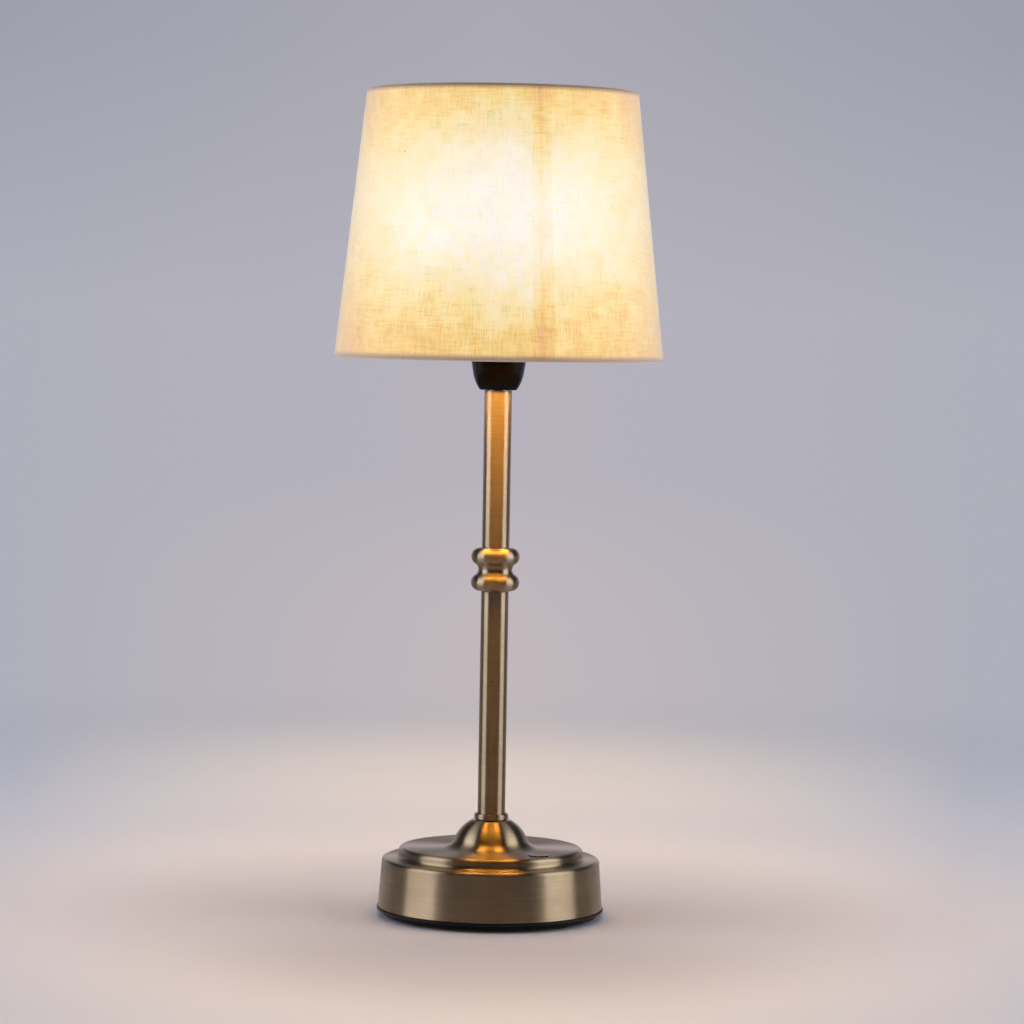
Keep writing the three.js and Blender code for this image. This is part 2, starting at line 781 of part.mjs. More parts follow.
// Knuckle, from its own middle: a bead, a waist and a bead.
function stemKnuckle() {
  const rootR = beadRadius - beadCurve;
  const beadMiddle = (knuckleHeight - beadHeight) / 2;
  const steps = arcFacets + 2;
  const bead = arc(rootR, beadMiddle, beadCurve, beadHeight / 2, beadRootAngle, beadCrownAngle, steps);
  const [edgeR, edgeZ] = bead[0];
  const sag = edgeR - waistRadius;
  const curve = (edgeZ ** 2 + sag ** 2) / (2 * sag);
  const reach = THREE.MathUtils.radToDeg(Math.asin(edgeZ / curve));
  const waist = roundArc(waistRadius + curve, 0, curve, 180 + reach, 180 - reach, arcFacets);
  const bore = rodRadius + clearance;
  const outline = [
    [bore, -knuckleHeight / 2],
    ...bead.map(([r, z]) => [r, -z]).reverse(),
    ...waist.slice(1, -1),
    ...bead,
    [bore, knuckleHeight / 2],
  ];
  return part("stem_knuckle", turned(outline, mediumFacets), brass);
}

function stemTube(name, length) {
  return part(name, ring(rodRadius + clearance, tubeRadius, 0, length, mediumFacets), brass);
}

// Outside of the cup, from its foot to its rim. An inset moves it in.
function cupLine(inset, steps) {
  const curveR = cupFootRadius - Math.sqrt(cupCurve ** 2 - cupCurveMiddle ** 2);
  const startAngle = THREE.MathUtils.radToDeg(Math.asin(-cupCurveMiddle / cupCurve));
  const curved = roundArc(curveR, cupCurveMiddle, cupCurve - inset, startAngle, -cupTaper, steps);
  const [endR, endZ] = curved[curved.length - 1];
  const rimR = cupRimRadius - inset;
  const rimZ = endZ + (rimR - endR) / Math.tan(radians(cupTaper));
  return [...curved, [rimR, rimZ], [rimR, cupHeight]];
}

function holderCap() {
  const outer = cupLine(0, arcFacets);
  const inner = cupLine(cupWall, arcFacets - 2).filter(([, z]) => z > cupWall + overcut);
  const bore = rodRadius + clearance;
  const neck = bore + cupWall;
  const outline = [
    [bore, 0],
    ...outer,
    ...inner.reverse(),
    [neck, cupWall + overcut],
    [neck, neckDepth],
    [bore, neckDepth],
  ];
  return part("holder_cap", turned(outline, mediumFacets), gloss);
}

// Outer sleeve of the holder: a spigot in the cup, the flange that carries the shade, and the thread.
function holderShell() {
  const bore = insertRadius + clearance;
  const spigot = cupRimRadius - cupWall - clearance;
  const outline = [
    [bore, -spigotDepth],
    [spigot, -spigotDepth],
    [spigot, 0],
    [flangeRadius, 0],
    [flangeRadius, flangeThickness],
    [holderThreadRadius, flangeThickness],
    [holderThreadRadius, flangeThickness + holderThreadHeight],
    [bore, flangeThickness + holderThreadHeight],
  ];
  return part("holder_shell", turned(outline, mediumFacets), gloss);
}

function holderInsert() {
  const height = holderThreadHeight + flangeThickness - clearance;
  const sleeve = ring(insertRadius - insertWall, insertRadius, 0, height, mediumFacets);
  return part("holder_insert", sleeve, brass);
}

// Insulating core under the insert: a disc with a post.
function holderCore() {
  const [rim, belowRim] = cupLine(cupWall, arcFacets).reverse().slice(1);
  const cupHere = rim[0] - Math.max(0, rim[1] - (coreZ - holderZ)) * Math.tan(radians(cupTaper));
  const radius = Math.max(cupHere, belowRim[0]) - clearance;
  const outline = [
    [0, coreZ],
    [radius, coreZ],
    [radius, coreZ + coreThickness],
    [postRadius, coreZ + coreThickness],
    [postRadius, postTop],
    [0, postTop],
  ];
  return part("holder_core", turned(outline, mediumFacets), ceramic);
}

function centreContact() {
  const half = contactWidth / 2;
  const strip = block([-postRadius, -half, 0], [contactReach, half, contactThickness]);
  return part("centre_contact", strip, brass);
}

// Bulb, from the tip of its cap upwards.
const capZ = bulbTipHeight + insulatorHeight + clearance;
const capTop = capZ + capLength;
const bulbCollarZ = capTop + clearance;
const collarRimZ = bulbCollarZ + collarConeHeight;
const bulbCollarTop = collarRimZ + collarRimHeight;
const glassZ = bulbCollarTop + clearance;

function bulbParts() {
  const tip = turned(
    [
      [0, 0],
      [bulbTipFlatRadius, 0],
      [bulbTipRadius, bulbTipHeight / 2],
      [bulbTipRadius, bulbTipHeight],
      [capRadius - capThreadDepth, bulbTipHeight + insulatorHeight],
      [0, bulbTipHeight + insulatorHeight],
    ],
    smallFacets,
  );
  return [
    part("bulb_tip", tip, ceramic),
    bulbCap(),
    bulbCollar(),
    bulbGlass(),
    bulbStem(),
  ];
}

// Screw cap: rounded ridges at the thread's pitch.
function bulbCap() {
  const ridges = Math.floor(capLength / capThreadPitch) - 1;
  const root = capRadius - capThreadDepth;
  const outline = [[0, capZ], [root, capZ]];
  for (let i = 0; i < ridges; i += 1) {
    const middle = capZ + (i + 1) * capThreadPitch;
    outline.push([root, middle - capThreadPitch / 2], [capRadius, middle]);
  }
  outline.push([root, capZ + (ridges + 0.5) * capThreadPitch]);
  outline.push([capRadius, capTop - capThreadPitch / 4]);
  outline.push([capRadius, capTop], [0, capTop]);
  return part("bulb_cap", turned(outline, smallFacets), tinned);
}

function bulbCollar() {
  const outline = [
    [0, bulbCollarZ],
    [capRadius, bulbCollarZ],
    [bulbRadius, collarRimZ],
    [bulbRadius, bulbCollarTop],
    [0, bulbCollarTop],
  ];
  return part("bulb_collar", turned(outline, smallFacets), ceramic);
}

function bulbGlass() {
  const crownZ = glassZ + bulbLength - bulbRadius;
  const outline = [
    [bulbRadius, glassZ],
    ...roundArc(0, crownZ, bulbRadius, 0, 90, arcFacets),
    ...roundArc(0, crownZ, bulbRadius - glassWall, 90, 0, arcFacets),
    [bulbRadius - glassWall, glassZ],
  ];
  return part("bulb_glass", turned(outline, smallFacets), glass);
}

function bulbStem() {
  const outline = [
    [0, glassZ],
    [bulbRadius - glassWall - 2 * clearance, glassZ],
    [bulbStemRadius, glassZ + bulbStemFlare],
    [bulbStemTipRadius, glassZ + bulbStemHeight],
    [0, glassZ + bulbStemHeight],
  ];
  return part("bulb_stem", turned(outline, smallFacets), glass);
}

// Leads. Each route is a list of points, chosen by hand, from one end of the lead to the other.
function lead(name, points, step, material) {
  const places = points.map((point) => new THREE.Vector3(...point));
  const route = new THREE.CatmullRomCurve3(places, false, "centripetal");
  const steps = Math.ceil(route.getLength() / step);
  return part(name, strand(route, leadRadius, leadSides, steps), material);
}

// Four leads: two from the board up the rod to the holder, and two from the contacts to the board.
function leads() {
  const side = leadSpacing / 2;
  const underRod = (bayTop + rodBottom) / 2;
  const onBoard = boardZ + boardThickness + clearance + leadRadius;
  const onRoof = bayTop + clearance + leadRadius;
  const plateTop = cellZ + plateHeight / 2 + clearance;
  const top = coreZ - clearance;
  const inRod = (x) => [
    [x, -leadBend, underRod],
    [x, -leadBend * 0.3, underRod + leadBend * 0.3],
    [x, 0, underRod + leadBend],
    [x, 0, rodBottom + 2 * leadBend],
    [x, 0, (rodBottom + top) / 2],
    [x, 0, top],
  ];
  const live = [
    [boardLeftX + 3, boardBackY - 8, onBoard],
    [boardLeftX - 1.5, boardBackY - 6, onBoard],
    [boardLeftX - 6, boardBackY - 2, underRod + clearance],
    [side, -washerRadius, underRod],
  ];
  const back = [
    [boardLeftX + 3, boardBackY - 11, onBoard],
    [boardLeftX - 1.5, boardBackY - 9.5, onBoard],
    [boardLeftX - 8, boardBackY - 4, underRod + clearance],
    [-side, -washerRadius - 1, underRod],
  ];
  const [plusX, plusY] = plusTerminal();
  const plus = [
    [plusX, plusY, plateTop],
    [plusX, plusY, bayTop],
    [plusX - 0.6, plusY, onBoard + leadRadius],
    [boardRightX - 2, plusY, onBoard],
    [boardRightX - 4, plusY, onBoard],
  ];
  const [minusX, minusY] = minusTerminal();
  const overRoof = onRoof + leadRadius / 2;
  const minus = [
    [minusX, minusY, plateTop],
    [minusX, minusY, bayTop],
    [minusX + leadRadius, minusY, overRoof],
    [minusX + 3 * leadRadius, minusY, overRoof],
    [minusX + 8, minusY, onRoof],
    [0, washerRadius + 3, onRoof],
    [boardLeftX + 5, 4, onRoof],
    [boardLeftX + 8, boardBackY + 5, overRoof],
    [boardLeftX + 8, boardBackY + 2, onBoard - leadRadius / 4],
    [boardLeftX + 8, boardBackY - 1, onBoard + leadRadius / 4],
    [boardLeftX + 8, boardBackY - 5, onBoard],
  ];
  return [
    lead("lamp_lead_live", [...live, ...inRod(side)], lampLeadStep, redLead),
    lead("lamp_lead_return", [...back, ...inRod(-side)], lampLeadStep, blackLead),
    lead("battery_lead_plus", plus, batteryLeadStep, redLead),
    lead("battery_lead_minus", minus, batteryLeadStep, blackLead),
  ];
}

// Ring nut with grip ribs.
function ringNut() {
  const bore = holderThreadRadius + clearance;
  const root = bore + ringNutWall - ringNutRibDepth;
  const points = [];
  for (let i = 0; i < 2 * ringNutRibs; i += 1) {
    const radius = i % 2 ? root : root + ringNutRibDepth;
    for (const share of [ringNutFlank, 1 - ringNutFlank]) {
      const angle = (Math.PI * (i + share)) / ringNutRibs;
      points.push(new THREE.Vector2(radius * Math.cos(angle), radius * Math.sin(angle)));
    }
  }
  const shape = new THREE.Shape(points);
  const ribbed = toSolid(new THREE.ExtrudeGeometry(shape, { depth: ringNutHeight, bevelEnabled: false }));
  const hole = disc(bore, -overcut, ringNutHeight + 2 * overcut, mediumFacets);
  return part("shade_nut", ribbed.subtract(hole), black);
}

// Carrier: a hub plate and straight arms to the lower wire ring. Heights are from the shade's lower rim.
const hemFloor = linenThickness;
const wireZ = hemFloor + clearance + shadeWire;

function shadeHub() {
  return part("shade_hub", ring(hubBore, hubRadius, hubRise, hubThickness, mediumFacets), steel);
}

function shadeArms() {
  const endZ = hemFloor + hemReturn + clearance + armRadius;
  const wireRadius = shadeBottomRadius - wireInset - wireZ * shadeTaper;
  const start = new THREE.Vector3(hubRadius + clearance, 0, hubRise + hubThickness / 2);
  const end = new THREE.Vector3(wireRadius - shadeWire - clearance, 0, endZ);
  return Array.from({ length: armCount }, (_, i) => {
    const arm = strand(new THREE.LineCurve3(start, end), armRadius, wireSides, 1);
    const angle = firstArmAngle + (360 * i) / armCount;
    return part("shade_arm_" + (i + 1), arm.rotate([0, 0, angle]), steel);
  });
}

// A wall that follows the shade's taper, between two heights and two insets from its outer face.
function taperedWall(from, to, outerInset, innerInset) {
  const at = (z, inset) => [shadeBottomRadius - z * shadeTaper - inset, z];
  return turned([at(from, outerInset), at(to, outerInset), at(to, innerInset), at(from, innerInset)], largeFacets);
}

function wireRing(name, z) {
  const radius = shadeBottomRadius - z * shadeTaper - wireInset;
  const torus = new THREE.TorusGeometry(radius, shadeWire, wireSides, largeFacets);
  return part(name, toSolid(torus).translate([0, 0, z]), steel);
}

// Hem: the cover turned in round the rim. Heights run from the rim towards the shade's middle.
function hem(name, rim, inwards) {
  const at = (depth, inset) => {
    const z = rim + inwards * depth;
    return [shadeBottomRadius - z * shadeTaper - inset, z];
  };
  const outline = [
    at(0, 0),
    at(hemHeight, 0),
    at(hemHeight, linenThickness),
    at(hemFloor, linenThickness),
    at(hemFloor, hemInnerInset),
    at(hemFloor + hemReturn, hemInnerInset),
    at(hemFloor + hemReturn, hemInnerInset + linenThickness),
    at(0, hemInnerInset + linenThickness),
  ];
  return part(name, turned(outline, largeFacets), linen);
}

function seamTape() {
  const outer = linerGap + linerThickness + clearance;
  const wall = taperedWall(seamInset, shadeHeight - seamInset, outer, outer + seamThickness);
  const slab = block([0, -seamWidth / 2, 0], [shadeBottomRadius + overcut, seamWidth / 2, shadeHeight]);
  return part("shade_seam_tape", wall.intersect(slab).rotate([0, 0, seamAngle]), backing);
}

function shadeParts() {
  const linerFrom = hemFloor + clearance;
  const linerTo = shadeHeight - linerFrom;
  const coverFrom = hemHeight + clearance;
  const cover = taperedWall(coverFrom, shadeHeight - coverFrom, 0, linenThickness);
  const liner = taperedWall(linerFrom, linerTo, linerGap, linerGap + linerThickness);
  return [
    shadeHub(),
    ...shadeArms(),
    wireRing("shade_wire_bottom", wireZ),
    wireRing("shade_wire_top", shadeHeight - wireZ),
    part("shade_liner", liner, backing),
    seamTape(),
    part("shade_fabric", cover, linen),
    hem("shade_hem_bottom", 0, 1),
    hem("shade_hem_top", shadeHeight, -1),
  ];
}

const base = group(
  0,
  ...feet(),
  baseTray(),
  batteryDoor(),
  ...cells(),
  ...cellSprings(),
  ...contactPlates(),
  baseWeight(),
  ...screws(),
  baseShell(),
  ...buttonParts(),
  circuitBoard(),
  ...rodParts(),
);

const lamp = group(
  0,
  base,
  group(0, ...leads(), holderCore()),
  group(collarZ, stemCollar()),
  group(lowerTubeZ, stemTube("stem_lower", lowerTubeLength)),
  group(knuckleZ + knuckleHeight / 2, stemKnuckle()),
  group(upperTubeZ, stemTube("stem_upper", upperTubeLength)),
  group(holderZ, holderCap()),
  group(flangeZ, holderShell(), holderInsert()),
  group(contactZ, centreContact()),
  group(bulbZ, ...bulbParts()),
  group(ringNutZ, ringNut()),
  group(shadeZ, ...shadeParts()),
);

export default lamp;
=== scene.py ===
"""Looks of the cordless table lamp: a brushed brass base and stem, a black lamp holder and a lit linen shade.

Blender 4.5, metres. Profiles and the sizes in capitals are written in millimetres, and a profile's points
are [radius, height].
"""
import math

import bmesh
import bpy
from mathutils import Matrix, Vector

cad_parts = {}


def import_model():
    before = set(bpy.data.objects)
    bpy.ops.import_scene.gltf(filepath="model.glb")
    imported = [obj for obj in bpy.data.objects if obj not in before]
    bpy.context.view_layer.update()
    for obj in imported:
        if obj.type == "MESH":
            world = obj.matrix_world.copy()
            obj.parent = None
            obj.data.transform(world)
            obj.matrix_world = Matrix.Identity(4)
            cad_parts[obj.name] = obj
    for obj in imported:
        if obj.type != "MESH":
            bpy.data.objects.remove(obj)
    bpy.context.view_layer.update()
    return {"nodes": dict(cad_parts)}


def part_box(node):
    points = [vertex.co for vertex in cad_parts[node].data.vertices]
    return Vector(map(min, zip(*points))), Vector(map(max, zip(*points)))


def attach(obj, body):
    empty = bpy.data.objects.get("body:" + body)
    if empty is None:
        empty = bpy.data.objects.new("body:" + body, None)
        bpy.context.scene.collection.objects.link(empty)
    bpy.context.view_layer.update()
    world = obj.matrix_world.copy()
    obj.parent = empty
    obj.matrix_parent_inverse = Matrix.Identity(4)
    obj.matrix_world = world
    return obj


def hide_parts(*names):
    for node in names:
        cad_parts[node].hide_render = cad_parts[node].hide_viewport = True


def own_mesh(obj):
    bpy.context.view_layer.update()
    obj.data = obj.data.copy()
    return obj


MM = 0.001
ON_AXIS = 1e-6  # a radius or length below this is zero
SHARP = math.radians(25)  # a corner that turns by less stays as it is
BLACK = (0.0, 0.0, 0.0)
WHITE = (1.0, 1.0, 1.0)
BACKDROP = (0.470, 0.448, 0.505)

# Driving sizes of the scene's own pieces, in millimetres. They match the CAD.
BORE = 5.3  # of the tubes and of everything on them
TUBE_RADIUS = 6.35
BUTTON_X = 21.91
BUTTON_Y = -27.55
BUTTON_RADIUS = 4.5
BUTTON_TRAVEL = 0.5
BASE_TOP = 31.8
HOLDER_FOOT = 242.7
FLANGE_Z = 262.3
BULB_FOOT = 263.7
SHADE_Z = 256.6
SHADE_HEIGHT = 123.0
SHADE_BOTTOM = 75.5  # radius
SHADE_TAPER = 13.5 / SHADE_HEIGHT
MEAN_RADIUS = 68.75
SEAM = -74.5  # degrees round from +X
COVER_LOW = 2.3  # the cover's edges, above the shade's bottom rim
COVER_HIGH = 120.7
OVERLAP = 10.0
CLOTH = 0.5  # thickness
LINER_OUTSIDE = 0.8  # insets of the liner from the cover's outside
LINER_INSIDE = 1.3
LAP_LIFT = 0.35  # how far the outer end of the cover stands off
LAP_SLOPE = 5.0  # length over which it rises

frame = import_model()


# ---------------------------------------------------------------- profiles

def arc(centre_r, centre_z, radius_r, radius_z, start, end, steps):
    """Points on an ellipse, from one angle to another, in degrees."""
    points = []
    for i in range(steps + 1):
        angle = math.radians(start + (end - start) * i / steps)
        points.append((centre_r + radius_r * math.cos(angle), centre_z + radius_z * math.sin(angle)))
    return points


def rounded(points, radius, steps=3):
    """A closed outline with its sharp corners rounded. Corners on the axis stay."""
    out = []
    count = len(points)
    for i, here in enumerate(points):
        here = Vector(here)
        into = here - Vector(points[i - 1])
        away = Vector(points[(i + 1) % count]) - here
        if min(here.x, into.length, away.length) < ON_AXIS or into.angle(away) < SHARP:
            out.append(tuple(here))
            continue
        reach = min(radius * math.tan(into.angle(away) / 2), 0.4 * into.length, 0.4 * away.length)
        first = here - into.normalized() * reach
        last = here + away.normalized() * reach
        for k in range(steps + 1):
            t = k / steps
            out.append(tuple(first * (1 - t) ** 2 + here * 2 * t * (1 - t) + last * t ** 2))
    return out


def held(points, near=0.15, longest=1.2):
    """An outline with a point close to each end of its long sides, so that they shade flat."""
    out = []
    count = len(points)
    for i, here in enumerate(points):
        here = Vector(here)
        after = Vector(points[(i + 1) % count])
        out.append(tuple(here))
        side = after - here
        if side.length > longest:
            step = side.normalized() * near
            out.append(tuple(here + step))
            out.append(tuple(after - step))
    return out


# ---------------------------------------------------------------- meshes

def marked_mesh(name, points, faces, marks):
    """A mesh with a UV map: one mark for each corner of each face."""
    mesh = bpy.data.meshes.new(name)
    mesh.from_pydata(points, [], faces)
    layer = mesh.uv_layers.new(name="UVMap")
    spots = [spot for corners in marks for spot in corners]
    for at, spot in enumerate(spots):
        layer.data[at].uv = spot
    return mesh


def lathe_mesh(name, outline, steps):
    """A closed outline turned about Z. Its UV map holds the ways round and along, in metres."""
    length = [0.0]
    for i in range(1, len(outline) + 1):
        length.append(length[-1] + math.dist(outline[i - 1], outline[i % len(outline)]) * MM)
    reach = max(r for r, z in outline) * MM
    points = []
    rings = []
    for r, z in outline:
        if r < ON_AXIS:
            points.append((0, 0, z * MM))
            rings.append([len(points) - 1] * steps)
            continue
        first = len(points)
        for k in range(steps):
            angle = 2 * math.pi * k / steps
            points.append((r * MM * math.cos(angle), r * MM * math.sin(angle), z * MM))
        rings.append(list(range(first, first + steps)))
    faces = []
    marks = []
    for i in range(len(outline)):
        j = (i + 1) % len(outline)
        for k in range(steps):
            n = (k + 1) % steps
            u0 = reach * 2 * math.pi * k / steps
            u1 = reach * 2 * math.pi * (k + 1) / steps
            corners = [
                (rings[i][k], (u0, length[i])),
                (rings[i][n], (u1, length[i])),
                (rings[j][n], (u1, length[i + 1])),
                (rings[j][k], (u0, length[i + 1])),
            ]
            face = []
            for corner in corners:
                if corner[0] not in [c[0] for c in face]:
                    face.append(corner)
            if len(face) > 2:
                faces.append([c[0] for c in face])
                marks.append([c[1] for c in face])
    return marked_mesh(name, points, faces, marks)


def outward(mesh):
    """Turns the faces of a closed mesh outwards, keeping its UV map."""
    work = bmesh.new()
    work.from_mesh(mesh)
    bmesh.ops.recalc_face_normals(work, faces=work.faces)
    work.to_mesh(mesh)
    work.free()


def shade(mesh, angle):
    """Smooth shading, with edges that turn by more than the angle left sharp."""
    mesh.shade_smooth()
    mesh.set_sharp_from_angle(angle=math.radians(angle))


def place(name, mesh, material):
    """A mesh in the scene, with its material."""
    obj = bpy.data.objects.new(name, mesh)
    bpy.context.scene.collection.objects.link(obj)
    mesh.materials.append(material)
    return obj


def piece(name, mesh, material, body, slot, *replaced, angle=30):
    """A finished mesh as a piece that rides on a body and stands for CAD nodes."""
    outward(mesh)
    shade(mesh, angle)
    obj = place(name, mesh, material)
    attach(obj, body)
    if replaced:
        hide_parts(*replaced)
    return obj


def turned(name, outline, material, body, slot, *replaced, steps, edge):
    """A lathe piece whose sharp edges are rounded."""
    mesh = lathe_mesh(name, held(rounded(outline, edge)), steps)
    piece(name, mesh, material, body, slot, *replaced)


def joined(name, parts):
    """Several meshes as one."""
    work = bmesh.new()
    for mesh in parts:
        work.from_mesh(mesh)
    out = bpy.data.meshes.new(name)
    work.to_mesh(out)
    work.free()
    return out


def cut(mesh, cutter):
    """A mesh less a closed cutter."""
    obj = bpy.data.objects.new("cut_from", mesh)
    tool = bpy.data.objects.new("cut_with", cutter)
    for each in (obj, tool):
        bpy.context.scene.collection.objects.link(each)
    modifier = obj.modifiers.new("cut", "BOOLEAN")
    modifier.operation = "DIFFERENCE"
    modifier.solver = "EXACT"
    modifier.object = tool
    bpy.context.view_layer.update()
    graph = bpy.context.evaluated_depsgraph_get()
    out = bpy.data.meshes.new_from_object(obj.evaluated_get(graph))
    out.materials.clear()
    for each in (obj, tool):
        bpy.data.objects.remove(each)
    return out


def tube_mesh(name, points, radius, sides):
    """A round wire along points, with flat ends."""
    ring_points = []
    faces = []
    for i, here in enumerate(points):
        before = points[max(i - 1, 0)]
        after = points[min(i + 1, len(points) - 1)]
        along = (Vector(after) - Vector(before)).normalized()
        side = along.orthogonal().normalized()
        other = along.cross(side)
        for k in range(sides):
            angle = 2 * math.pi * k / sides
            out = side * math.cos(angle) + other * math.sin(angle)
            ring_points.append(tuple(Vector(here) + out * radius))
    for i in range(len(points) - 1):
        for k in range(sides):
            n = (k + 1) % sides
            faces.append([i * sides + k, i * sides + n, (i + 1) * sides + n, (i + 1) * sides + k])
    last = (len(points) - 1) * sides
    faces.append(list(range(sides)))
    faces.append(list(range(last + sides - 1, last - 1, -1)))
    mesh = bpy.data.meshes.new(name)
    mesh.from_pydata(ring_points, [], faces)
    return mesh


# ---------------------------------------------------------------- material nodes

class Graph:
    """Short names for the nodes of a material or a world."""

    def __init__(self, owner):
        self.owner = owner
        owner.use_nodes = True
        self.tree = owner.node_tree
        self.tree.nodes.clear()

    def add(self, kind, inputs=None, **settings):
        node = self.tree.nodes.new(kind)
        for key, value in settings.items():
            setattr(node, key, value)
        for key, value in (inputs or {}).items():
            self.set(node.inputs[key], value)
        return node

    def set(self, socket, value):
        if isinstance(value, bpy.types.NodeSocket):
            self.tree.links.new(value, socket)
        elif isinstance(value, tuple) and len(value) == 3 and socket.type == "RGBA":
            socket.default_value = (*value, 1)
        else:
            socket.default_value = value

    def math(self, operation, a, b=0.0, clamp=False):
        return self.add("ShaderNodeMath", {0: a, 1: b}, operation=operation, use_clamp=clamp).outputs[0]

    def plus(self, a, b):
        return self.math("ADD", a, b)

    def minus(self, a, b):
        return self.math("SUBTRACT", a, b)

    def times(self, a, b):
        return self.math("MULTIPLY", a, b)

    def over(self, a, b):
        return self.math("DIVIDE", a, b)

    def larger(self, a, b):
        return self.math("MAXIMUM", a, b)

    def power(self, a, b):
        return self.math("POWER", a, b)

    def without_sign(self, a):
        return self.math("ABSOLUTE", a)

    def distance(self, x, y):
        """From the origin to a point."""
        return self.math("SQRT", self.plus(self.times(x, x), self.times(y, y)))

    def vector(self, x, y, z):
        return self.add("ShaderNodeCombineXYZ", {0: x, 1: y, 2: z}).outputs[0]

    def split(self, vector):
        return self.add("ShaderNodeSeparateXYZ", {0: vector}).outputs

    def object_place(self):
        return self.add("ShaderNodeTexCoord").outputs["Object"]

    def uv(self):
        return self.add("ShaderNodeUVMap", uv_map="UVMap").outputs[0]

    def scaled(self, vector, factors):
        return self.add("ShaderNodeVectorMath", {0: vector, 1: factors}, operation="MULTIPLY").outputs[0]

    def noise(self, vector, scale, detail, roughness):
        inputs = {"Vector": vector, "Scale": scale, "Detail": detail, "Roughness": roughness}
        return self.add("ShaderNodeTexNoise", inputs).outputs[0]

    def cells(self, vector, scale, **settings):
        return self.add("ShaderNodeTexVoronoi", {"Vector": vector, "Scale": scale}, **settings).outputs

    def span(self, value, low, high, to_low=0.0, to_high=1.0, smooth=False):
        """A value between low and high, spread between two others and held there."""
        node = self.add("ShaderNodeMapRange", {0: value, 1: low, 2: high, 3: to_low, 4: to_high})
        if smooth:
            node.interpolation_type = "SMOOTHSTEP"
        return node.outputs[0]

    def mix(self, factor, a, b, blend="MIX"):
        """Colour a where the factor is 0, and b where it is 1."""
        node = self.add("ShaderNodeMix", data_type="RGBA", blend_type=blend)
        self.set(node.inputs[0], factor)
        self.set(node.inputs[6], a)
        self.set(node.inputs[7], b)
        return node.outputs[2]

    def tinted(self, colour, tint):
        return self.mix(1.0, colour, tint, "MULTIPLY")

    def ramp(self, value, stops):
        """A colour for each value, from (place, colour) stops."""
        node = self.add("ShaderNodeValToRGB", {0: value})
        bar = node.color_ramp
        while len(bar.elements) < len(stops):
            bar.elements.new(1.0)
        for element, (at, colour) in zip(bar.elements, stops):
            element.position = at
            element.color = (*colour, 1)
        return node.outputs[0]

    def bump(self, height, strength, distance):
        inputs = {"Height": height, "Strength": strength, "Distance": distance}
        return self.add("ShaderNodeBump", inputs).outputs[0]

    def ray(self, kind):
        """1 for rays of this kind, and 0 for others."""
        return self.add("ShaderNodeLightPath").outputs[kind]

    def principled(self, **inputs):
        node = self.add("ShaderNodeBsdfPrincipled")
        for key, value in inputs.items():
            self.set(node.inputs[key.replace("_", " ")], value)
        return self.finished(node)

    def finished(self, node, output="ShaderNodeOutputMaterial"):
        """Joins the last node to an output, and gives the material or the world."""
        self.tree.links.new(node.outputs[0], self.add(output).inputs[0])
        return self.owner


def material_graph(name):
    """The empty graph of a new material."""
    return Graph(bpy.data.materials.new(name))


def brushed_brass(name="brushed_brass", painted_shade_sides=False):
    """Antique brass, brushed round the axis. The UV map's second part runs along the profile."""
    g = material_graph(name)
    x, y = g.split(g.object_place())[:2]
    along = g.split(g.uv())[1]

    def strokes(round_scale, along_scale, roughness):
        way = g.vector(g.times(x, round_scale), g.times(y, round_scale), g.times(along, along_scale))
        return g.noise(way, 1, 2, roughness)

    fine = strokes(55, 5200, 0.6)
    coarse = strokes(22, 1100, 0.5)
    lines = g.plus(g.times(fine, 0.62), g.times(coarse, 0.38))
    cloud = g.noise(g.object_place(), 46, 3, 0.55)
    spots = g.noise(g.object_place(), 420, 2, 0.6)
    patina = g.span(cloud, 0.35, 0.7, 0.0, 1.0, True)
    clean = g.mix(patina, (0.425, 0.335, 0.230), (0.370, 0.285, 0.190))
    worked = g.mix(g.span(lines, 0.38, 0.62, 0.0, 1.0), g.mix(0.30, clean, (0.17, 0.115, 0.065)), clean)
    colour = g.mix(g.span(spots, 0.66, 0.78, 0.0, 0.35), worked, (0.16, 0.10, 0.05))
    # Painted shade: faces that turn away from up, such as a button's sides, are painted almost black.
    if painted_shade_sides:
        facing = g.without_sign(g.split(g.add("ShaderNodeNewGeometry").outputs["Normal"])[2])
        colour = g.mix(g.span(facing, 0.35, 0.85, 1.0, 0.0, True), colour, (0.018, 0.013, 0.009))
    rough = g.plus(g.span(lines, 0.3, 0.7, 0.30, 0.36), g.span(cloud, 0.3, 0.7, -0.02, 0.02))
    tangent = g.add("ShaderNodeTangent", direction_type="RADIAL", axis="Z").outputs[0]
    return g.principled(
        Base_Color=colour, Metallic=1.0, Roughness=rough, Normal=g.bump(lines, 0.22, 0.00006),
        Anisotropic=0.96, Anisotropic_Rotation=0.25, Tangent=tangent,
    )


def plain_metal(name, colour, dark, roughness, scale=180, bump=0.1):
    """A plated or rolled metal with faint clouds, scratches and stains."""
    g = material_graph(name)
    spot = g.object_place()
    cloud = g.noise(spot, scale, 4, 0.6)
    scratch = g.noise(g.scaled(spot, (60, 900, 900)), 1, 2, 0.5)
    mixed = g.mix(g.span(cloud, 0.38, 0.68, 0.0, 0.8), colour, dark)
    rough = g.span(cloud, 0.3, 0.7, roughness - 0.06, roughness + 0.1)
    rough = g.plus(rough, g.span(scratch, 0.4, 0.7, 0.0, 0.06))
    return g.principled(
        Base_Color=mixed, Metallic=1.0, Roughness=rough,
        Normal=g.bump(g.plus(cloud, g.times(scratch, 0.4)), bump, 0.0001),
    )


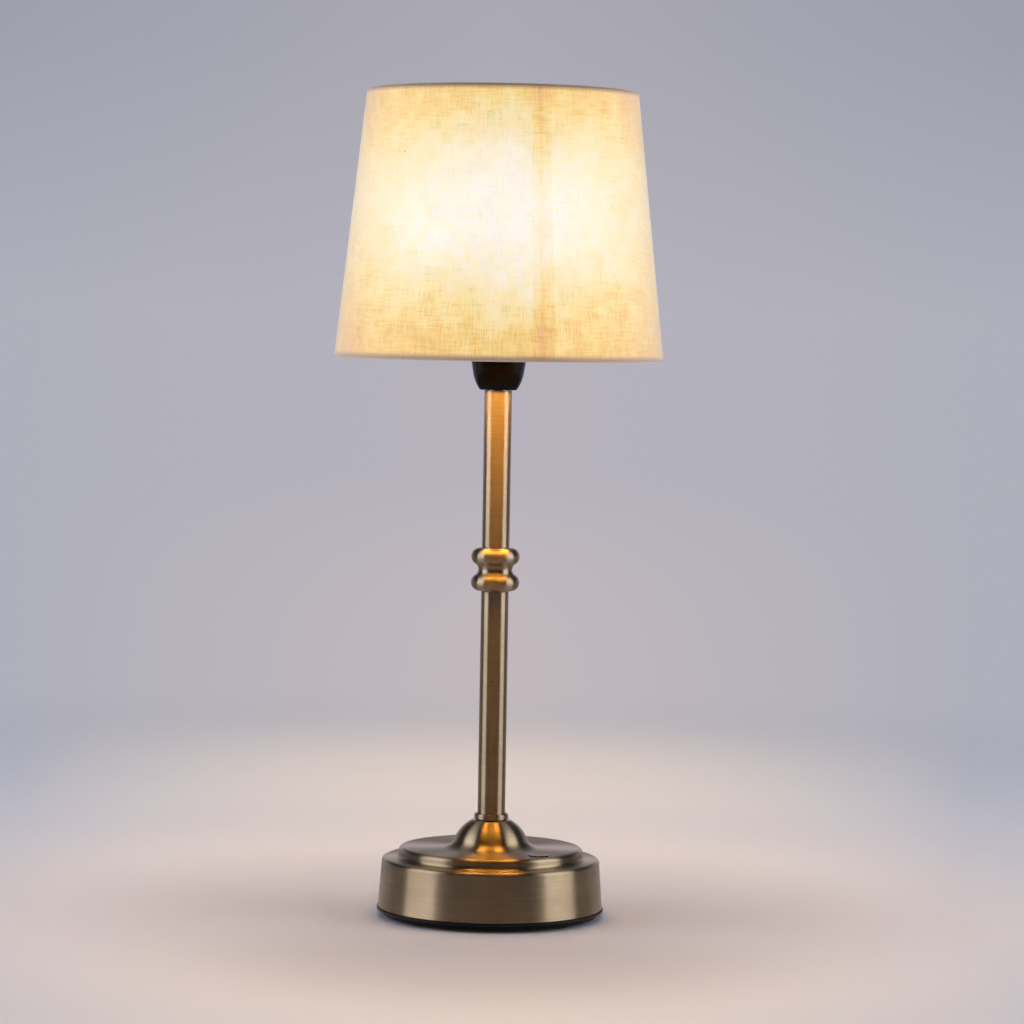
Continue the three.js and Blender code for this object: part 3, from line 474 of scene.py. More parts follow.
def moulded(name, colour, worn, roughness, grain=2600, bump=0.25, specular=0.5):
    """Moulded plastic: a fine grain, faint flow marks and slightly paler rubbed places."""
    g = material_graph(name)
    spot = g.object_place()
    fine = g.noise(spot, grain, 2, 0.5)
    flow = g.noise(g.scaled(spot, (30, 30, 90)), 1, 3, 0.5)
    colour = g.mix(g.span(flow, 0.45, 0.75, 0.0, 0.6), colour, worn)
    rough = g.span(flow, 0.3, 0.7, roughness - 0.05, roughness + 0.06)
    rough = g.plus(rough, g.span(fine, 0.3, 0.7, -0.03, 0.03))
    return g.principled(
        Base_Color=colour, Roughness=rough, Specular_IOR_Level=specular, Normal=g.bump(fine, bump, 0.00008),
    )


def glossy_holder():
    """Dark glossy thermoset of the lamp holder, with faint ripples and tiny pale specks painted on as glints.
    """
    g = material_graph("holder_plastic")
    spot = g.object_place()
    ripple = g.noise(g.scaled(spot, (70, 70, 260)), 1, 2, 0.5)
    speck = g.cells(spot, 520)["Distance"]
    cloud = g.noise(spot, 120, 2, 0.5)
    base = g.mix(g.span(cloud, 0.35, 0.7, 0.0, 1.0), (0.0012, 0.0009, 0.0006), (0.0022, 0.0016, 0.0010))
    # Painted glints: small pale warm specks scattered over the cup.
    colour = g.mix(g.span(speck, 0.04, 0.075, 0.5, 0.0), base, (0.16, 0.10, 0.05))
    rough = g.span(ripple, 0.3, 0.7, 0.10, 0.15)
    return g.principled(
        Base_Color=colour, Roughness=rough, Specular_IOR_Level=0.13, Normal=g.bump(ripple, 0.12, 0.00025),
    )


def cell_wrap():
    """Plain shrink-wrapped round cell that lies along X: a green sleeve, a pale band and bare steel ends."""
    g = material_graph("cell_case")
    spot = g.object_place()
    from_middle = g.without_sign(g.split(spot)[0])
    bare = g.span(from_middle, 0.02405, 0.0242)
    edge = g.minus(g.span(from_middle, 0.0229, 0.0230), g.span(from_middle, 0.0240, 0.0241))
    wrinkle = g.noise(g.scaled(spot, (500, 120, 120)), 1, 2, 0.5)
    sleeve = g.mix(g.span(wrinkle, 0.35, 0.7), (0.025, 0.085, 0.050), (0.040, 0.120, 0.070))
    banded = g.mix(edge, sleeve, (0.45, 0.43, 0.36))
    colour = g.mix(bare, banded, (0.52, 0.51, 0.49))
    return g.principled(
        Base_Color=colour, Metallic=bare, Roughness=g.span(wrinkle, 0.3, 0.7, 0.28, 0.40),
        Normal=g.bump(wrinkle, 0.2, 0.0001),
    )


def solder_board():
    """Glass-fibre board: green mask over copper tracks, with bare pads."""
    g = material_graph("board")
    spot = g.object_place()
    cells = g.cells(spot, 330, distance="MANHATTAN", feature="DISTANCE_TO_EDGE")
    track = g.span(cells["Distance"], 0.10, 0.14, 1.0, 0.0)
    pads = g.cells(spot, 260)["Distance"]
    pad = g.span(pads, 0.16, 0.20, 1.0, 0.0)
    fibre = g.noise(g.scaled(spot, (1500, 1500, 200)), 1, 2, 0.5)
    mask = g.mix(g.span(fibre, 0.3, 0.7), (0.010, 0.085, 0.036), (0.014, 0.105, 0.046))
    tracked = g.mix(track, mask, (0.030, 0.160, 0.070))
    colour = g.mix(pad, tracked, (0.62, 0.60, 0.56))
    height = g.plus(g.times(track, 0.5), pad)
    return g.principled(
        Base_Color=colour, Metallic=g.times(pad, 0.9),
        Roughness=g.span(fibre, 0.3, 0.7, 0.30, 0.42), Normal=g.bump(height, 0.3, 0.00005),
    )


def clear_glass():
    """Blown glass of the bulb: clear, with faint waves and a little dust."""
    g = material_graph("bulb_glass")
    spot = g.object_place()
    wave = g.noise(spot, 90, 2, 0.5)
    dust = g.noise(spot, 1400, 3, 0.6)
    return g.principled(
        Base_Color=g.mix(g.span(dust, 0.4, 0.8, 0.0, 0.2), (1.0, 0.985, 0.955), (0.9, 0.85, 0.75)),
        Transmission_Weight=1.0, IOR=1.46,
        Roughness=g.span(dust, 0.45, 0.8, 0.01, 0.10), Normal=g.bump(wave, 0.08, 0.0005),
    )


def filament_coat():
    """Yellow phosphor of a light-emitting strip, lit."""
    g = material_graph("filament")
    grain = g.noise(g.object_place(), 2600, 2, 0.5)
    colour = g.mix(g.span(grain, 0.3, 0.7), (0.85, 0.50, 0.12), (0.95, 0.62, 0.18))
    return g.principled(Base_Color=colour, Roughness=0.6, Emission_Color=colour, Emission_Strength=14.0)


# ---------------------------------------------------------------- linen

BULB_Z = 0.3205  # middle of the bulb's light, in metres
THREADS = 450  # round the shade
THREAD_PITCH = 0.00096  # from thread to thread, in height
THREAD_WANDER = 3.0  # how far uneven spinning moves a thread, in radians of its wave


def falloff(g, rise):
    """Light of a bulb on a wall beside it, by the height above the bulb over the wall's distance."""
    return g.power(g.plus(g.times(rise, rise), 1.0), -1.5)


def linen():
    """Linen lit from inside, its glow painted as emission. The glow follows from the distance and the angle
    to the bulb.
    """
    g = material_graph("linen")
    spot = g.object_place()
    x, y, z = g.split(spot)
    turn = g.math("ARCTAN2", y, x)
    u = g.times(turn, MEAN_RADIUS * MM)
    radius = g.distance(x, y)

    def stretched(along_u, along_v, shift):
        return g.noise(g.vector(g.times(u, along_u), g.times(z, along_v), shift), 1, 1, 0.5)

    def wave(way, count, spin):
        return g.math("SINE", g.plus(g.times(way, count), g.times(spin, THREAD_WANDER)))

    # Threads both ways, unevenly spun, and thick places in them.
    warp_spin = stretched(1000, 120, 0.0)
    weft_spin = stretched(120, 1000, 3.7)
    density = g.times(g.plus(warp_spin, weft_spin), 0.5)
    weft_slub = g.span(stretched(110, 2100, 8.3), 0.68, 0.78)
    warp_slub = g.span(stretched(2100, 110, 5.1), 0.67, 0.77)
    slub = g.larger(weft_slub, warp_slub)
    warp = wave(turn, THREADS, warp_spin)
    weft = wave(z, 2 * math.pi / THREAD_PITCH, weft_spin)
    tight = g.noise(g.scaled(spot, (130, 130, 130)), 1, 2, 0.5)
    warp_line = g.times(g.span(warp, -0.3, 0.9), g.span(tight, 0.30, 0.62, 0.35, 1.0))
    weft_line = g.times(g.span(weft, -0.3, 0.9), g.span(tight, 0.70, 0.38, 0.15, 0.8))
    lines = g.plus(g.times(warp_line, 0.55), g.times(weft_line, 0.26))
    lines = g.plus(lines, g.span(density, 0.47, 0.66, 0.0, 0.70))
    relief = g.times(g.times(warp, weft), 0.35)
    height = g.plus(relief, g.plus(density, g.times(slub, 0.6)))

    # Light that reaches the cloth: less with distance and slant, and less towards the sides.
    # Below the bulb it falls off faster, by 1.27.
    rise = g.over(g.minus(z, BULB_Z), radius)
    rise = g.larger(rise, g.times(rise, -1.27))
    side = g.over(x, radius)
    light = g.times(falloff(g, rise), g.minus(1.0, g.times(g.times(side, side), 0.42)))
    dim = g.minus(1.32, light)
    cloud = g.span(g.noise(spot, 34, 3, 0.55), 0.3, 0.7, -0.07, 0.07)
    patch = g.span(g.noise(g.scaled(spot, (130, 130, 110)), 1, 2, 0.55), 0.3, 0.7, -0.085, 0.10)
    light = g.plus(light, g.plus(cloud, g.times(patch, dim)))

    # The cover laps over itself at the seam, and its hems let little light through.
    off_seam = g.without_sign(g.minus(turn, math.radians(SEAM)))
    seam = g.span(off_seam, math.radians(2.7), math.radians(5.2), 1.0, 0.0, True)
    off_streak = g.without_sign(g.minus(turn, math.radians(SEAM - 0.4)))  # the lap's doubled edge
    seam_streak = g.span(off_streak, 0.0, math.radians(1.5), 1.0, 0.0, True)
    ends = g.span(g.without_sign(rise), 0.45, 0.85, 1.0, 1.4)
    darker = g.times(g.plus(g.times(seam, 0.11), g.times(seam_streak, 0.09)), ends)
    light = g.minus(light, darker)
    glow = g.ramp(g.span(light, 0.10, 1.10), [
        (0.00, (0.500, 0.160, 0.004)),
        (0.14, (0.590, 0.285, 0.012)),
        (0.28, (0.665, 0.418, 0.072)),
        (0.40, (0.690, 0.538, 0.250)),
        (0.56, (0.705, 0.632, 0.510)),
        (0.70, (0.720, 0.712, 0.745)),
        (0.90, (0.740, 0.785, 0.975)),
    ])
    soft = g.span(light, 0.35, 0.95, 1.0, 0.55)
    thick = g.math("MAXIMUM", g.times(lines, soft), g.times(slub, g.times(soft, 0.9)), clamp=True)
    glow = g.mix(thick, glow, g.tinted(glow, (0.66, 0.82, 0.52)))
    low_rim = g.span(z, (SHADE_Z + 1.0) * MM, (SHADE_Z + 3.8) * MM, 1.0, 0.0, True)
    top = SHADE_Z + SHADE_HEIGHT
    top_rim = g.span(z, (top - 3.2) * MM, (top - 0.9) * MM)
    glow = g.mix(g.larger(low_rim, top_rim), glow, (0.05, 0.022, 0.006))

    fibre = g.mix(g.span(density, 0.35, 0.65), (0.78, 0.70, 0.485), (0.70, 0.625, 0.425))
    fibre = g.mix(g.times(thick, 0.6), fibre, (0.60, 0.46, 0.20))
    # Painted shade: the hems' own colour is greyer at the bottom rim and dark brown at the top rim.
    fibre = g.mix(low_rim, fibre, (0.52, 0.43, 0.34))
    fibre = g.mix(g.power(top_rim, 1.5), fibre, (0.17, 0.125, 0.09))
    cells = g.cells(spot, 120)
    speck = g.span(cells["Distance"], 0.05, 0.09, 1.0, 0.0)
    chosen = g.math("GREATER_THAN", g.split(cells["Color"])[0], 0.72)
    speck = g.times(g.times(speck, chosen), 0.45)
    fibre = g.mix(g.larger(g.times(slub, 0.4), speck), fibre, (0.36, 0.22, 0.10))
    lit = g.mix(speck, glow, (0.12, 0.06, 0.01))
    return g.principled(
        Base_Color=fibre, Roughness=0.85, Specular_IOR_Level=0.2, Normal=g.bump(height, 0.35, 0.00018),
        Sheen_Weight=1.0, Sheen_Roughness=0.6, Emission_Color=lit, Emission_Strength=1.0,
        Coat_Weight=1.0, Coat_IOR=1.25, Coat_Roughness=0.9, Coat_Tint=(0.97, 0.88, 0.76),
    )


def liner_sheet():
    """Stiff translucent backing, lit from inside, with the bulb's light on it also painted as emission."""
    g = material_graph("shade_liner")
    spot = g.object_place()
    z = g.split(spot)[2]
    fibre = g.noise(g.scaled(spot, (420, 420, 900)), 1, 3, 0.6)
    cloud = g.noise(spot, 60, 2, 0.5)
    colour = g.mix(g.span(fibre, 0.35, 0.7), (0.86, 0.82, 0.74), (0.78, 0.73, 0.64))
    rise = g.times(g.minus(z, BULB_Z), 15.5)  # over the liner's mean radius, 0.0645 m
    light = g.plus(falloff(g, rise), g.span(cloud, 0.3, 0.7, -0.03, 0.03))
    glow = g.mix(g.span(light, 0.35, 1.0), (0.92, 0.40, 0.020), (1.0, 0.51, 0.045))
    return g.principled(
        Base_Color=colour, Roughness=g.span(fibre, 0.3, 0.7, 0.45, 0.6), Normal=g.bump(fibre, 0.2, 0.0001),
        Emission_Color=glow, Emission_Strength=3.9,
    )


brass = brushed_brass()
black_plastic = moulded(
    "black_plastic", (0.0055, 0.0052, 0.0052), (0.011, 0.0105, 0.0105), 0.34, specular=0.25,
)
steel = plain_metal("steel", (0.62, 0.62, 0.63), (0.42, 0.41, 0.40), 0.34)
bulb_metal = plain_metal("bulb_metal", (0.72, 0.69, 0.62), (0.50, 0.46, 0.38), 0.26, 260)
holder_plastic = glossy_holder()
ceramic = moulded("ceramic", (0.74, 0.71, 0.64), (0.62, 0.58, 0.50), 0.42, 1500, 0.15)
glass = clear_glass()
cloth = linen()
liner = liner_sheet()
materials = {  # by the slots of the CAD's own pieces
    "black_plastic": black_plastic,
    "rubber": moulded("rubber", (0.016, 0.016, 0.016), (0.040, 0.038, 0.036), 0.82, 1500, 0.5),
    "contact_brass": plain_metal("contact_brass", (0.68, 0.62, 0.50), (0.50, 0.42, 0.30), 0.28),
    "iron": plain_metal("iron", (0.11, 0.105, 0.10), (0.055, 0.048, 0.042), 0.60, 90, 0.4),
    "cell_case": cell_wrap(),
    "board": solder_board(),
    "red_lead": moulded("red_lead", (0.36, 0.025, 0.018), (0.26, 0.02, 0.015), 0.42, 1800, 0.1),
    "black_lead": moulded("black_lead", (0.010, 0.010, 0.010), (0.022, 0.022, 0.022), 0.42, 1800, 0.1),
    "brass": plain_metal("sheet_brass", (0.66, 0.48, 0.22), (0.42, 0.29, 0.13), 0.30),
    "steel": steel,
    "bulb_metal": bulb_metal,
    "holder_plastic": holder_plastic,
    "ceramic": ceramic,
    "glass": glass,
    "linen": cloth,
    "liner": liner,
}
for obj in frame["nodes"].values():
    for slot in obj.material_slots:
        slot.material = materials[slot.material.name.split(".")[0]]


# ---------------------------------------------------------------- base

def base_shell():
    """Stepped cover with its bell: skirt, shoulder, step, top plane, hollow curve, bell."""
    sheet = 1.0
    foot = 51.8  # radii of the skirt's foot, its top and the step
    skirt_top = 50.2
    step = 42.4
    foot_z = 4.3
    shoulder_z = 26.8
    shoulder = 1.6  # radii of the rounding of the shoulder, the hollow beside the step, and the step
    hollow = 1.8
    edge = 2.0
    bell_centre = (1.256, 29.483)
    bell = 16.7
    curve_centre = (22.6, 38.2)
    curve = 6.4
    outer = [
        (foot, foot_z),
        *arc(skirt_top - shoulder, shoulder_z - shoulder, shoulder, shoulder, 0, 90, 10),
        *arc(step + hollow, shoulder_z + hollow, hollow, hollow, 270, 180, 8),
        *arc(step - edge, BASE_TOP - edge, edge, edge, 0, 90, 12),
        *arc(*curve_centre, curve, curve, 270, 208, 14),
        *arc(*bell_centre, bell, bell, 20, 62.4, 16)[1:],
        (BORE, 44.28),
    ]
    inner = [
        (BORE, 43.2),
        (8.5, 43.3),
        *arc(*bell_centre, bell - sheet, bell - sheet, 60, 20, 6),
        *arc(*curve_centre, curve + sheet, curve + sheet, 210, 270, 6),
        (step - sheet, BASE_TOP - sheet),
        (step - sheet, shoulder_z - sheet),
        (skirt_top - sheet, shoulder_z - sheet),
        (foot - sheet, foot_z),
    ]
    mesh = lathe_mesh("brass_cover", held(rounded(outer + inner, 0.15)), 180)
    outward(mesh)
    hole = BUTTON_RADIUS + 0.3
    cutter = lathe_mesh("hole", [(0, 30.0), (hole, 30.0), (hole, 33.0), (0, 33.0)], 48)
    cutter.transform(Matrix.Translation((BUTTON_X * MM, BUTTON_Y * MM, 0)))
    outward(cutter)
    piece("brass_cover", cut(mesh, cutter), brass, "stand", "brass", "base_shell")


def button():
    """Push button: a cap that stands proud by its travel, over a flange and a pin. Its sides are painted
    dark, as painted shade.
    """
    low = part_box("button_cap")[0][2] / MM
    pin = 1.6
    flange = 5.4
    flange_low = 29.2
    flange_high = 30.2
    top = BASE_TOP + BUTTON_TRAVEL
    outline = [
        (0, low),
        (pin, low),
        (pin, flange_low),
        (flange, flange_low),
        (flange, flange_high),
        (BUTTON_RADIUS, flange_high),
        (BUTTON_RADIUS, top),
        (0, top),
    ]
    mesh = lathe_mesh("button", held(rounded(outline, 0.03)), 64)
    mesh.transform(Matrix.Translation((BUTTON_X * MM, BUTTON_Y * MM, 0)))
    brass_and_painted_shade = brushed_brass("button_brass_painted_shade", painted_shade_sides=True)
    piece("button", mesh, brass_and_painted_shade, "button", "brass", "button_cap")


def button_coil():
    """Return spring of the button, which on the real lamp shortens as the button goes down."""
    low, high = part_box("button_spring")
    wire = 0.3 * MM
    coils = 3
    flat_end = 0.12  # share of the wire that lies flat at each end
    middle_x = (low[0] + high[0]) / 2
    middle_y = (low[1] + high[1]) / 2
    radius = (high[0] - low[0]) / 2 - wire
    steps = 72
    points = []
    for i in range(steps + 1):
        turn = 2 * math.pi * coils * i / steps
        rise = min(max((i / steps - flat_end) / (1 - 2 * flat_end), 0.0), 1.0)
        z = low[2] + wire + (high[2] - low[2] - 2 * wire) * rise
        points.append((middle_x + radius * math.cos(turn), middle_y + radius * math.sin(turn), z))
    mesh = tube_mesh("button_coil", points, wire, 10)
    obj = piece("button_coil", mesh, steel, "stand", "steel", "button_spring", angle=60)
    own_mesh(obj)


base_shell()
button()
button_coil()


# ---------------------------------------------------------------- stem

def stem():
    """Collar, two tubes and the turned double bead between them."""
    collar = [
        (BORE, 44.6),
        *arc(7.2, 45.2, 0.6, 0.6, -90, 0, 6),
        *arc(7.2, 46.8, 0.6, 0.6, 0, 90, 6),
        (6.65, 47.4),
        (6.65, 46.0),
        (BORE, 46.0),
    ]
    turned("collar", collar, brass, "stand", "brass", "stem_collar", steps=96, edge=0.1)
    tubes = (("tube_lower", "stem_lower", 46.3, 150.0), ("tube_upper", "stem_upper", 170.4, 242.4))
    for name, node, low, high in tubes:
        tube = [(BORE, low), (TUBE_RADIUS, low), (TUBE_RADIUS, high), (BORE, high)]
        turned(name, tube, brass, "stand", "brass", node, steps=96, edge=0.15)
    middle = 160.2
    reach = 9.9
    bead = arc(7.25, 5.95, 3.93, 3.95, -65, 82, 26)
    waist = arc(11.028, 0, 3.178, 3.178, 228.2, 131.8, 14)
    knuckle = [
        (BORE, middle - reach),
        *[(r, middle - z) for r, z in reversed(bead)],
        *[(r, middle + z) for r, z in waist[1:-1]],
        *[(r, middle + z) for r, z in bead],
        (BORE, middle + reach),
    ]
    turned("knuckle", knuckle, brass, "stand", "brass", "stem_knuckle", steps=96, edge=0.1)


stem()


# ---------------------------------------------------------------- lamp holder and bulb

def cup_line(inset, steps):
    """Side of the holder's cup, from its foot up: a round belly, then a cone up to the rim."""
    belly = 17.8
    belly_z = 10.5
    foot = 8.5
    cone = 9  # degrees
    belly_r = foot - math.sqrt(belly ** 2 - belly_z ** 2)
    start = math.degrees(math.asin(-belly_z / belly))
    points = arc(belly_r, belly_z, belly - inset, belly - inset, start, -cone, steps)
    end_r, end_z = points[-1]
    rim = 12.8 - inset
    return [*points, (rim, end_z + (rim - end_r) / math.tan(math.radians(cone))), (rim, 19.3)]


def holder():
    """Cup of the lamp holder, and above it the threaded sleeve that takes the ring nut."""
    floor_z = 2.7
    collar = 7.0
    inner = [point for point in cup_line(1.7, 8) if point[1] > floor_z]
    cup = [(BORE, 0), *cup_line(0, 18), *reversed(inner), (collar, floor_z), (collar, 8.0), (BORE, 8.0)]
    cup = [(r, z + HOLDER_FOOT) for r, z in cup]
    turned("holder_cup", cup, holder_plastic, "stand", "holder_plastic", "holder_cap", steps=96, edge=0.35)
    bore = 8.1
    socket = 10.8
    flange = 16.0
    flange_top = 2.0
    root = 13.35
    crest = 13.8
    pitch = 2.0
    top = 23.7
    thread = []
    for turn in range(10):
        z = 3.0 + pitch * turn
        thread += [(root, z), (crest, z + 0.55), (crest, z + 0.95), (root, z + 1.5)]
    sleeve = [
        (bore, -4.0),
        (socket, -4.0),
        (socket, 0),
        (flange, 0),
        (flange, flange_top),
        (root, flange_top),
        *thread,
        (root, top),
        (bore, top),
    ]
    sleeve = [(r, z + FLANGE_Z) for r, z in sleeve]
    turned(
        "holder_sleeve", sleeve, holder_plastic, "stand", "holder_plastic", "holder_shell",
        steps=72, edge=0.15,
    )


holder()


def raised(outline):
    """An outline that is measured from the bulb's foot."""
    return [(max(r, 0.0), z + BULB_FOOT) for r, z in outline]


def bulb():
    """Small screw bulb: threaded cap, ceramic neck, tube of glass, and four lit strips on a glass stem."""
    root = 6.15
    crest = 6.85
    cap_low = 4.3
    cap_high = 24.7
    pitch = 2.82
    cap = [(0, cap_low), (root, cap_low)]
    for turn in range(6):
        middle = cap_low + pitch * turn + 2.31
        cap += arc(root, middle, crest - root, 1.25, -90, 90, 6)
    cap += [(root, 22.6), (crest, 23.4), (crest, cap_high), (0, cap_high)]
    turned("screw_cap", raised(cap), bulb_metal, "bulb", "bulb_metal", "bulb_cap", steps=64, edge=0.15)

    glass_radius = 12.0
    wall = 0.8
    dome_z = 74.9
    collar = [
        (0, 25.0),
        (crest, 25.0),
        *arc(crest, 31.1, 5.15, 5.6, -70, 0, 8),
        (glass_radius, 32.6),
        (0, 32.6),
    ]
    turned("bulb_neck", raised(collar), ceramic, "bulb", "ceramic", "bulb_collar", steps=64, edge=0.25)
    outside = [(10.6, 32.9), (glass_radius, 34.2), *arc(0, dome_z, glass_radius, glass_radius, 0, 90, 20)]
    bore = glass_radius - wall
    inside = [*arc(0, dome_z, bore, bore, 90, 0, 16), (bore, 34.6), (9.9, 33.6)]
    turned("envelope", raised(outside + inside), glass, "bulb", "glass", "bulb_glass", steps=72, edge=0.1)
    stem_line = [
        (0, 32.9),
        (9.4, 32.9),
        (9.0, 34.0),
        (4.2, 37.5),
        (2.4, 41.9),
        (1.6, 55.0),
        (1.3, 70.9),
        (0, 70.9),
    ]
    turned("glass_stem", raised(stem_line), glass, "bulb", "glass", "bulb_stem", steps=40, edge=0.5)

    def at(way, out, up):
        return way * out * MM + Vector((0, 0, (BULB_FOOT + up) * MM))

    strip = 0.85 * MM
    wire = 0.25 * MM
    strips = []
    wires = []
    for k in range(4):
        angle = math.radians(45 + 90 * k)
        way = Vector((math.cos(angle), math.sin(angle), 0))
        foot = at(way, 6.2, 43.5)
        head = at(way, 4.4, 73.5)
        strips.append(tube_mesh("strip", [foot, foot.lerp(head, 0.5), head], strip, 8))
        wires.append(tube_mesh("wire", [at(way, 2.2, 40.5), foot], wire, 6))
        wires.append(tube_mesh("wire", [head, at(way, 0, 75.5)], wire, 6))
    piece("filaments", joined("filaments", strips), filament_coat(), "bulb", "glass", angle=60)
    piece("filament_wires", joined("filament_wires", wires), steel, "bulb", "bulb_metal", angle=60)


bulb()


# ---------------------------------------------------------------- shade

def wall_radius(z, inset):
    """Radius of the shade at a height above its bottom rim, less an inset."""
    return SHADE_BOTTOM - z * SHADE_TAPER - inset


def cover_mesh(name):
    """The linen cover: one strip round the shade, whose outer end laps over its start at the seam."""
    steps = 360
    lap_steps = 10
    rows = 24
    extra = OVERLAP / MEAN_RADIUS
    slope = LAP_SLOPE / MEAN_RADIUS
    start = math.radians(SEAM) - extra / 2
    turns = [2 * math.pi * k / steps for k in range(steps + 1)]
    turns += [2 * math.pi + extra * (k + 1) / lap_steps for k in range(lap_steps)]
    heights = [COVER_LOW + (COVER_HIGH - COVER_LOW) * j / rows for j in range(rows + 1)]
    outer_sheet = []
    inner_sheet = []
    points = []
    for turn in turns:
        rise = min(max((turn - (2 * math.pi - slope)) / slope, 0.0), 1.0)
        rise = rise * rise * (3 - 2 * rise) * LAP_LIFT
        column = ([], [])
        for z in heights:
            for side, inset in ((0, 0.0), (1, CLOTH)):
                r = (wall_radius(z, inset) + rise) * MM
                points.append((r * math.cos(start + turn), r * math.sin(start + turn), (SHADE_Z + z) * MM))
                column[side].append(len(points) - 1)
        outer_sheet.append(column[0])
        inner_sheet.append(column[1])
    faces = []
    marks = []

    def mark(i, j):
        return (turns[i] * MEAN_RADIUS * MM, heights[j] * MM)

    for i in range(len(turns) - 1):
        for j in range(rows):
            square = [(i, j), (i + 1, j), (i + 1, j + 1), (i, j + 1)]
            faces.append([outer_sheet[a][b] for a, b in square])
            marks.append([mark(a, b) for a, b in square])
            faces.append([inner_sheet[a][b] for a, b in reversed(square)])
            marks.append([mark(a, b) for a, b in reversed(square)])
        for j in (0, rows):
            faces.append([outer_sheet[i][j], outer_sheet[i + 1][j], inner_sheet[i + 1][j], inner_sheet[i][j]])
            marks.append([mark(i, j), mark(i + 1, j), mark(i + 1, j), mark(i, j)])
    for i in (0, len(turns) - 1):
        for j in range(rows):
            faces.append([outer_sheet[i][j], outer_sheet[i][j + 1], inner_sheet[i][j + 1], inner_sheet[i][j]])
            marks.append([mark(i, j), mark(i, j + 1), mark(i, j + 1), mark(i, j)])
    return marked_mesh(name, points, faces, marks)


def hem_outline(rim, inwards):
    """A hem wraps a rim of the shade: along the cover outside, round the wire, and along the liner inside."""

    def at(depth, inset):
        z = rim + inwards * depth
        return (wall_radius(z, inset), SHADE_Z + z)

    return [
        at(0, LINER_INSIDE), at(0.06, 0.75), at(0.25, 0.32), at(0.55, 0.06),
        at(0.95, -0.08), at(1.5, -0.10), at(2.0, -0.04), at(2.31, 0),
        at(2.31, CLOTH), at(CLOTH, CLOTH), at(CLOTH, 4.3),
        at(1.6, 4.3), at(1.6, 4.8), at(0.4, 4.8), at(0, 4.3),
    ]


def shade_pieces():
    """Stiff liner, two hems and the linen cover."""
    low = 0.8
    high = SHADE_HEIGHT - 0.8
    corners = ((low, LINER_OUTSIDE), (high, LINER_OUTSIDE), (high, LINER_INSIDE), (low, LINER_INSIDE))
    wall = [(wall_radius(z, inset), SHADE_Z + z) for z, inset in corners]
    turned("liner", wall, liner, "shade", "liner", "shade_liner", steps=160, edge=0.1)
    rims = (("hem_bottom", "shade_hem_bottom", 0.0, 1), ("hem_top", "shade_hem_top", SHADE_HEIGHT, -1))
    for name, node, rim, inwards in rims:
        mesh = lathe_mesh(name, held(rounded(hem_outline(rim, inwards), 0.02)), 360)
        piece(name, mesh, cloth, "shade", "linen", node, angle=50)
    cover = piece("cover", cover_mesh("cover"), cloth, "shade", "linen", "shade_fabric", angle=50)


shade_pieces()

# The bulb's own pieces don't stop the light of the lamps inside it.
for name in ("screw_cap", "bulb_neck", "envelope", "glass_stem", "filaments", "filament_wires", "bulb_tip"):
    bpy.data.objects[name].visible_shadow = False


# ---------------------------------------------------------------- floor, light and camera

COOL = (0.97, 0.98, 1.0)
WARM = (1.0, 0.985, 0.98)
FLOOR_RADIUS = 60  # metres, so that the floor's edge is the horizon
FLOOR_Z = -0.0002  # just under the feet


